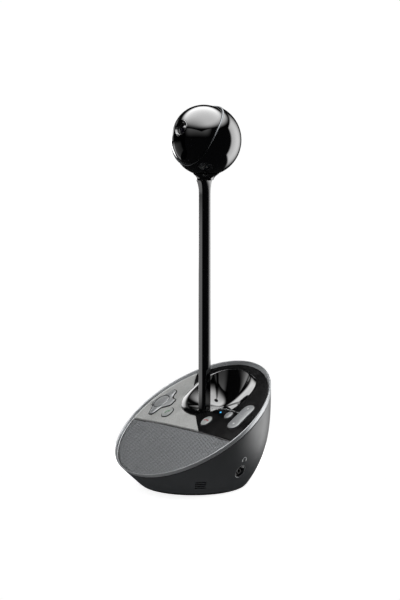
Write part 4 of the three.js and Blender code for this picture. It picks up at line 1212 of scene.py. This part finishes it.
@dataclass
class Head:
    """The neck, the cup that pans and the ball that tilts in it."""

    ball: tuple[float, float, float] = (0.0, 15.4, 352.1)
    ball_size: tuple[float, float, float] = (33.0, 33.9, 33.9)
    ball_wall: float = 1.6
    cup: tuple[float, float, float] = (0.0, 18.6, 350.6)
    cup_size: tuple[float, float, float] = (35.4, 35.9, 35.9)
    clear: float = 0.45
    rim_axis: tuple[float, float] = (67.1, 319.4)
    bead: float = 1.0
    bead_sunk: float = 0.55
    bead_gap: float = 0.15
    rim_radius: float = 74.4
    lens_up: float = math.radians(19)
    ring_radius: float = 8.6
    lens_radius: float = 5.6
    open_up: float = math.radians(43.5)
    open_back: float = 12.4
    window: tuple[float, float, float] = (15.6, 32.0, 12.0)  # width, height, its middle's drop below the lens
    stalk_top: float = 310.1
    stalk_y: float = 16.5
    neck_lean: float = 0.5  # the neck's foot stands this far behind the stalk's axis
    neck_top: float = 317.0

    def on_ellipsoid(self, centre: tuple, size: Sequence[float], direction: np.ndarray) -> np.ndarray:
        """Where rays from the centre meet an ellipsoid about it."""
        reach = 1 / np.linalg.norm(direction / np.array(size), axis=-1, keepdims=True)
        return np.array(centre) + direction * reach

    def cup_shell(self) -> None:
        """The cup: an ellipsoid cut by a round bar across X, with a half-round rim and the ball's cavity.

        Rows run from the pole, which faces the bar's axis, to the angle at which the ray leaves the bar.
        That angle is found by halving, for all columns at once.
        """
        columns = 240
        pole = np.array([0, self.rim_axis[0] - self.cup[1], self.rim_axis[1] - self.cup[2]])
        pole /= np.linalg.norm(pole)
        side = np.array([1.0, 0, 0])
        third = np.cross(pole, side)
        turn = np.linspace(0, FULL_TURN, columns, endpoint=False)[:, None]

        def point(theta: np.ndarray) -> np.ndarray:
            sine, cosine = np.sin(theta)[..., None], np.cos(theta)[..., None]
            swing = np.cos(turn)[..., None] * side + np.sin(turn)[..., None] * third
            return self.on_ellipsoid(self.cup, self.cup_size, cosine * pole + sine * swing)

        low, high = np.zeros((columns, 1)) + 0.5, np.zeros((columns, 1)) + 2.9
        for _ in range(40):
            middle = (low + high) / 2
            at = point(middle)
            inside = np.hypot(at[..., 1] - self.rim_axis[0], at[..., 2] - self.rim_axis[1]) < self.rim_radius
            low, high = np.where(inside, middle, low), np.where(inside, high, middle)
        share = np.linspace(0, 1, 70)[None, :]
        outer = point(low * share)
        cavity = np.array(self.ball_size) + self.clear
        inner = self.on_ellipsoid(self.ball, cavity, outer - np.array(self.ball))
        edge_out, edge_in = outer[:, -1:], inner[:, -1:]
        centre, half = (edge_out + edge_in) / 2, (edge_out - edge_in) / 2
        along = outer[:, -1:] - outer[:, -2:-1]
        along /= np.linalg.norm(along, axis=-1, keepdims=True)
        bow = np.linspace(0, math.pi, 11)[None, 1:-1, None]
        rim = centre + half * np.cos(bow) + along * np.linalg.norm(half, axis=-1, keepdims=True) * np.sin(bow)
        points = np.concatenate([outer, rim, inner[:, ::-3]], axis=1)
        piece = make_mesh("cup", points, grid_faces(columns, points.shape[1], True, False), 60.0)
        dress(piece, PIANO_BLACK, Body.HEAD, ["head_cup"])
        self.cup_bead(edge_out[:, 0], edge_in[:, 0], along[:, 0])

    def cup_bead(self, outside: np.ndarray, inside: np.ndarray, along: np.ndarray) -> None:
        """A plated bead on the cup's rim: a circle carried along the rim, sunk a little into its outer edge.

        Where the cup's wall is thin, the circle is smaller, so that it stays clear of the ball.
        """
        normal = outside - inside
        wall = np.linalg.norm(normal, axis=1, keepdims=True)
        normal /= wall
        rise = self.bead - self.bead_sunk
        radius = np.minimum(self.bead, (wall + rise + self.clear - self.bead_gap) / 2)
        middle = outside + 0.2 * along + (rise - radius) * normal
        phi = np.linspace(0, FULL_TURN, 16, endpoint=False)[None, :, None]
        points = middle[:, None] + radius[:, None] * (
            np.cos(phi) * normal[:, None] + np.sin(phi) * along[:, None]
        )
        piece = make_mesh("cup_bead", points, grid_faces(*points.shape[:2], True, True), 80.0)
        dress(piece, DARK_CHROME, Body.HEAD)

    def lens_place(self, x: np.ndarray, up: np.ndarray, out: np.ndarray) -> np.ndarray:
        """Points for lens coordinates: x across, up the ball, and out along the lens axis."""
        x, up, out = np.broadcast_arrays(x, up, out)
        sine, cosine = math.sin(self.lens_up), math.cos(self.lens_up)
        y = self.ball[1] - out * cosine + up * sine
        return np.stack([self.ball[0] + x, y, self.ball[2] + out * sine + up * cosine], -1)

    def ball_skin(self, x: np.ndarray, up: np.ndarray, sunk: np.ndarray) -> np.ndarray:
        """Points on the ball, sunk a little, over flat places in front of the lens plane."""
        size = np.array(self.ball_size)
        out = np.sqrt(
            np.maximum(1 - (x / (size[0] - sunk)) ** 2 - (up / (size[1] - sunk)) ** 2, 0)
        ) * (size[1] - sunk)
        return self.lens_place(x, up, out)

    def ball_shell(self) -> None:
        """The ball: an ellipsoid shell that starts round the lens and ends on a slanted plane behind."""
        columns, rows = 240, 110
        turn = np.linspace(0, FULL_TURN, columns, endpoint=False)[:, None]
        open_axis = np.array([0, -math.cos(self.open_up), math.sin(self.open_up)])

        def ray(theta: np.ndarray) -> np.ndarray:
            sine = np.sin(theta)
            flat = self.lens_place(sine * np.cos(turn), sine * np.sin(turn), np.cos(theta) + 0 * turn)
            return flat - np.array(self.ball)

        start = math.asin((self.ring_radius + 0.25) / self.ball_size[1])
        low, high = np.zeros((columns, 1)) + 0.5, np.zeros((columns, 1)) + 3.1
        for _ in range(40):
            middle = (low + high) / 2
            at = self.on_ellipsoid(self.ball, self.ball_size, ray(middle)) - np.array(self.ball)
            inside = (at @ open_axis) > -self.open_back
            low, high = np.where(inside, middle, low), np.where(inside, high, middle)
        theta = start + (low - start) * np.linspace(0, 1, rows)[None, :]
        outer = self.on_ellipsoid(self.ball, self.ball_size, ray(theta))
        thin = np.array(self.ball_size) - self.ball_wall
        inner = self.on_ellipsoid(self.ball, thin, ray(theta[:, ::-3]))
        points = np.concatenate([outer, inner], axis=1)
        piece = make_mesh("ball", points, grid_faces(columns, points.shape[1], True, True), 50.0)
        cut(piece, [self.window_cutter()], 40.0)
        dress(piece, PIANO_BLACK, Body.BALL, ["ball_shell"])

    def window_outline(self, grow: float) -> np.ndarray:
        """The window's oblong outline in lens coordinates."""
        width, height, below = self.window
        outline = rounded_rect(width + 2 * grow, height + 2 * grow, width / 2 + grow - 0.01, 24)
        return outline - np.array([0, below])

    def window_cutter(self) -> bpy.types.Object:
        """The space that the window takes, 1.2 mm deep into the ball."""
        outline = self.window_outline(0.2)
        middle = np.array([0.0, -self.window[2]])
        shares = np.linspace(0, 1, 14)
        flat = [middle + (outline - middle) * s for s in shares]
        bottom = np.stack([self.ball_skin(p[:, 0], p[:, 1], 1.2) for p in flat])
        top = np.stack([self.ball_skin(p[:, 0], p[:, 1], -3.0) for p in flat[::-1]])
        points = np.concatenate([bottom, top])
        return make_mesh("window_cutter", points, grid_faces(len(points), len(outline), False, True))

    def window_piece(self) -> None:
        """The smoked window: a curved plate just below the ball's surface, from the lens ring to a round end.

        Columns run across it, closer at the sides, and each goes from the round end up to the ring.
        """
        width, height, below = self.window
        half = width / 2 - 0.01
        across = half * np.sin(np.linspace(-math.pi / 2, math.pi / 2, 41))[:, None]
        low = -below - (height / 2 - half) - np.sqrt(half**2 - across**2)
        high = -np.sqrt((self.ring_radius + 0.25) ** 2 - across**2)
        up = low + (high - low) * np.linspace(0, 1, 41)[None, :]
        thick = 0.95
        points = self.ball_skin(across + 0 * up, up, np.array(0.1 + thick / 2))
        piece = make_mesh("front_window", points, grid_faces(*up.shape, False, False), 60.0)
        solidify(piece, thick)
        bevel(piece, 0.25, 3, 50.0)
        dress(piece, SMOKED, Body.BALL, ["lens_window"])

    def turned(
        self, name: str, profile: Sequence[tuple[float, float]], sharp: float = 30.0
    ) -> bpy.types.Object:
        """A piece turned about the lens axis: each profile point is a radius and a distance out."""
        turn = np.linspace(0, FULL_TURN, 96, endpoint=False)[:, None]
        radius = np.array([p[0] for p in profile])[None, :]
        out = np.array([p[1] for p in profile])[None, :] + 0 * turn
        points = self.lens_place(radius * np.cos(turn), radius * np.sin(turn), out)
        return make_mesh(name, points, grid_faces(96, len(profile), True, True), sharp)

    def lens(self) -> None:
        """The lens: a stepped ring, a ribbed barrel and a domed front element."""
        face = self.ball_size[1] - 0.9
        big, small = self.ring_radius, self.lens_radius
        ring = [(big, face - 3.4), (big, face - 0.5), (big - 0.15, face - 0.1), (big - 0.5, face + 0.2)]
        ring += [
            (big - 1.0, face + 0.15), (big - 1.5, face - 0.5), (small + 0.9, face - 1.4),
            (small + 0.5, face - 1.6)
        ]
        ring += [(small + 0.4, face - 3.4)]
        dress(self.turned("lens_bezel", ring), PIANO_BLACK, Body.BALL, ["lens_ring"])
        barrel = [
            (0, 8), (small, 8), (small, face - 2.2), (small - 0.2, face - 2.0), (small - 0.5, face - 2.0)
        ]
        for rib in range(4):
            out = face - 2.2 - rib * 0.6
            barrel += [(small - 0.55 - rib * 0.1, out), (small - 0.8 - rib * 0.1, out - 0.3)]
        barrel += [(small - 1, face - 4.9), (0, face - 5)]
        dress(self.turned("lens_tube", barrel), SATIN_BLACK, Body.BALL, ["lens_barrel"])
        reach = small - 1.2
        dome = [(reach * s, face - 2.5 - 0.9 * s**2) for s in np.linspace(0, 1, 14)]
        glass = [(0, face - 4.6), (reach, face - 4.6), *dome[::-1]]
        dress(self.turned("front_element", glass), LENS_COATED, Body.BALL, ["lens_glass"])

    def neck(self) -> None:
        """The neck: a flare from the stalk up to the cup, which its top follows, with a spigot below."""
        turn = np.linspace(0, FULL_TURN, 120, endpoint=False)[:, None]
        foot = self.stalk_top + 0.35
        low = [(0.0, foot - 12), (2.6, foot - 12), (2.6, foot), (8.3, foot), (8.7, foot + 0.35)]
        rise = np.linspace(0, 1, 16)[1:]
        flare = [
            (8.7 + 4.6 * s**1.9, foot + 0.35 + (self.neck_top - 0.25 - foot - 0.35) * s**0.95) for s in rise
        ]
        size = self.cup_size[1] + 0.35
        top = [(r, self.cup[2] - math.sqrt(size**2 - r**2)) for r in (13.0, 9.0, 6.0, 3.95)]
        well = [(3.95, self.neck_top - 5.4), (0.0, self.neck_top - 5.4)]
        profile = low + flare + top + well
        radius = np.array([p[0] for p in profile])[None, :]
        height = np.array([p[1] for p in profile])[None, :] + 0 * turn
        share = np.clip((height - foot) / (self.neck_top - foot), 0, 1)
        front = self.stalk_y + self.neck_lean
        axis_y = np.where(height < foot - 0.01, self.stalk_y, front + (self.cup[1] - front) * share)
        points = np.stack([radius * np.cos(turn), axis_y + radius * np.sin(turn), height], -1)
        piece = make_mesh("neck_flare", points, grid_faces(120, len(profile), True, False), 40.0)
        dress(piece, PIANO_BLACK, Body.NECK, ["neck"])

    def build(self) -> None:
        """Makes the head and dresses what is carried over inside it."""
        self.neck()
        self.cup_shell()
        self.ball_shell()
        self.window_piece()
        self.lens()
        for node in ("pan_motor", "tilt_motor", "tilt_bracket", "tilt_pin_left", "tilt_pin_right"):
            recolour(node, PLATED)
        for node in ("tilt_gear", "tilt_pinion"):
            recolour(node, BRASS)
        recolour("sensor_board", MASKED)


# ---------------------------------------------------------------- the studio


class Role(Enum):
    """What a card does: shows in polished faces, lights matt ones, or both."""

    MIRRORED = 1
    FELT = 2
    BOTH = 3


@dataclass(frozen=True)
class Softbox:
    """A soft light: a card that glows on one side and fades towards its edges.

    The card's own X and Y run across it and its Z faces away from the object, so the object-space coordinates
    of a point on it give the fade.
    """

    name: str
    place: tuple[float, float, float]  # metres
    aim: tuple[float, float, float]
    size: tuple[float, float]
    strength: float
    fade: tuple[float, float, float, float] = (0.02, 0.02, 0.02, 0.02)  # left, right, low and high, as shares
    round: bool = False  # a round card fades by its first share towards its rim
    role: Role = Role.BOTH

    def material(self) -> bpy.types.Material:
        """An emission that rises over each edge's share of the card."""
        made = bpy.data.materials.new(self.name)
        made.use_nodes = True
        tree = made.node_tree
        tree.nodes.clear()
        place = add_node(tree, "ShaderNodeTexCoord")
        split = add_node(tree, "ShaderNodeSeparateXYZ", {0: place.outputs["Object"]})
        level = None
        edges = ((0, -1, self.fade[0]), (0, 1, self.fade[1]), (1, -1, self.fade[2]), (1, 1, self.fade[3]))
        if self.round:
            scale = (2 / self.size[0], 2 / self.size[1], 0.0)
            unit = add_node(
                tree, "ShaderNodeVectorMath", {0: place.outputs["Object"], 1: scale}, operation="MULTIPLY"
            )
            reach = add_node(tree, "ShaderNodeVectorMath", {0: unit.outputs[0]}, operation="LENGTH")
            level = add_node(
                tree,
                "ShaderNodeMapRange",
                {0: reach.outputs["Value"], 1: 1.0, 2: 1 - self.fade[0], 3: 0.0, 4: 1.0},
                interpolation_type="SMOOTHSTEP",
            )
            edges = ((1, -1, self.fade[2]),)
        for axis, side, share in edges:
            half = self.size[axis] / 2
            ramp = add_node(
                tree,
                "ShaderNodeMapRange",
                {0: split.outputs[axis], 1: side * half, 2: side * half * (1 - 2 * share), 3: 0.0, 4: 1.0},
                interpolation_type="SMOOTHSTEP",
            )
            if level is None:
                level = ramp
            else:
                level = add_node(
                    tree, "ShaderNodeMath", {0: level.outputs[0], 1: ramp.outputs[0]}, operation="MULTIPLY"
                )
        facing = add_node(tree, "ShaderNodeNewGeometry")
        front = add_node(
            tree, "ShaderNodeMath", {0: 1.0, 1: facing.outputs["Backfacing"]}, operation="SUBTRACT"
        )
        power = add_node(
            tree, "ShaderNodeMath", {0: level.outputs[0], 1: front.outputs[0]}, operation="MULTIPLY"
        )
        power = add_node(
            tree, "ShaderNodeMath", {0: power.outputs[0], 1: self.strength}, operation="MULTIPLY"
        )
        glow = add_node(tree, "ShaderNodeEmission", {"Color": (1, 1, 1, 1), "Strength": power.outputs[0]})
        add_node(tree, "ShaderNodeOutputMaterial", {"Surface": glow.outputs[0]})
        return made

    def build(self) -> bpy.types.Object:
        """Makes the card and turns its face to the point it is aimed at."""
        across, high = self.size[0] / 2, self.size[1] / 2
        points = np.array(
            [[-across, -high, 0], [across, -high, 0], [across, high, 0], [-across, high, 0]]
        ) / MM
        card = make_mesh(self.name, points, [[0, 1, 2, 3]])
        card.data.materials.append(self.material())
        card.location = self.place
        card.rotation_euler = (Vector(self.aim) - Vector(self.place)).to_track_quat("Z", "Y").to_euler()
        card.visible_camera = False
        card.visible_diffuse = self.role is not Role.MIRRORED
        card.visible_glossy = self.role is not Role.FELT
        return card


@dataclass
class Studio:
    """A pale floor, soft lights and the camera."""

    floor_radius: float = 0.2
    floor_glow: float = 0.82  # the sheet is lit from below, as on a shooting table
    camera: tuple[float, float, float] = (1.09930, -1.00101, 0.37687)
    target: tuple[float, float, float] = (0.003995, 0.006493, 0.189188)
    lens: float = 88.59
    softboxes: tuple[Softbox, ...] = (
        # Seen only in polished faces: one overhead, one long one on the right, dim ones on the left.
        Softbox("overhead_card", (0.0, -0.05, 0.76), (0.0, -0.05, 0.3), (1.25, 1.25), 6.6, (0.5,) * 4, True,
                Role.MIRRORED),
        Softbox("front_card", (0.394, -0.742, 0.88), (0.0, 0.02, 0.35), (2.2, 1.1), 1.3,
                (0.3, 0.3, 0.8, 0.1), False,
                Role.MIRRORED),
        Softbox("right_card", (0.16, 0.80, 0.30), (0.0, 0.02, 0.33), (1.15, 1.3), 4.6,
                (0.7, 0.15, 0.1, 0.1), False,
                Role.MIRRORED),
        Softbox("left_low_card", (-0.55, -0.23, 0.125), (0.0, 0.0, 0.125), (0.8, 0.37), 1.3,
                (0.2, 0.3, 0.1, 0.3), False,
                Role.MIRRORED),
        Softbox("left_rear_card", (-0.82, 0.05, 0.3), (0.0, 0.0, 0.3), (0.3, 0.9), 0.7,
                (0.2, 0.2, 0.2, 0.2), False,
                Role.MIRRORED),
        Softbox("silver_card", (-0.78, 0.225, 0.345), (0.005, 0.0, 0.06), (0.6, 0.5), 3.0,
                (0.1, 0.1, 0.1, 0.45),
                False, Role.MIRRORED),
        # Felt only by matt faces.
        Softbox(
            "overhead_light", (0.0, 0.05, 0.9), (0.0, 0.0, 0.1), (0.7, 0.7), 1.3, (0.3,) * 4, False, Role.FELT
        ),
        Softbox(
            "left_light", (-0.55, -0.30, 0.25), (0.0, 0.02, 0.08), (0.36, 0.5), 3.2, (0.2,) * 4, False,
            Role.FELT
        ),
        Softbox(
            "right_light", (0.35, 0.62, 0.3), (0.05, 0.02, 0.08), (0.4, 0.5), 3.0, (0.2,) * 4, False,
            Role.FELT
        ),
    )

    def floor(self) -> bpy.types.Object:
        """A flat round sheet, pale and matt."""
        angle = np.linspace(0, FULL_TURN, 96, endpoint=False)
        points = np.stack([np.cos(angle), np.sin(angle), 0 * angle], -1) * self.floor_radius / MM
        piece = make_mesh("floor", points, [list(range(96))])
        finish = Finish("paper_studio_white", "#f4f4f4", 0.9, grain=1.0, mottle=0.0)
        material = finish.build()
        shader = next(n for n in material.node_tree.nodes if n.type == "BSDF_PRINCIPLED")
        shader.inputs["Emission Color"].default_value = (1.0, 1.0, 1.0, 1.0)
        shader.inputs["Emission Strength"].default_value = self.floor_glow
        piece.data.materials.append(material)
        piece.visible_glossy = False
        return piece

    def world(self) -> None:
        """A white room for the camera and for soft light, and a dark one in reflections."""
        world = bpy.data.worlds.new("studio")
        world.use_nodes = True
        tree = world.node_tree
        tree.nodes.clear()
        path = add_node(tree, "ShaderNodeLightPath")
        camera = add_node(
            tree, "ShaderNodeMath", {0: path.outputs["Is Camera Ray"], 1: 1.0}, operation="MULTIPLY"
        )
        soft = add_node(
            tree, "ShaderNodeMath", {0: path.outputs["Is Diffuse Ray"], 1: 0.28}, operation="MULTIPLY"
        )
        total = add_node(tree, "ShaderNodeMath", {0: camera.outputs[0], 1: soft.outputs[0]}, operation="ADD")
        total = add_node(tree, "ShaderNodeMath", {0: total.outputs[0], 1: 0.012}, operation="ADD")
        sky = add_node(tree, "ShaderNodeBackground", {"Color": (1, 1, 1, 1), "Strength": total.outputs[0]})
        add_node(tree, "ShaderNodeOutputWorld", {"Surface": sky.outputs[0]})
        bpy.context.scene.world = world

    def build(self) -> None:
        """Places floor, world, lights and camera."""
        scene = bpy.context.scene
        scene.view_settings.view_transform = "Standard"
        self.floor()
        [box.build() for box in self.softboxes]
        self.world()
        data = bpy.data.cameras.new("camera")
        data.lens = self.lens
        data.sensor_fit = "VERTICAL"
        data.sensor_height = 36.0
        data.clip_end = 50.0
        camera = bpy.data.objects.new("camera", data)
        camera.location = self.camera
        camera.rotation_euler = (
            Vector(self.target) - Vector(self.camera)
        ).to_track_quat("-Z", "Y").to_euler()
        scene.collection.objects.link(camera)
        scene.camera = camera


def main() -> None:
    """Builds the object piece by piece, then the studio."""
    logging.basicConfig(level=logging.INFO, format="%(message)s")
    for assembly in (Base(), SpeakerGrille(), FacePanels(), Keys(), Cradle(), Stalk(), Head(), Studio()):
        assembly.build()


if __name__ == "__main__":
    main()
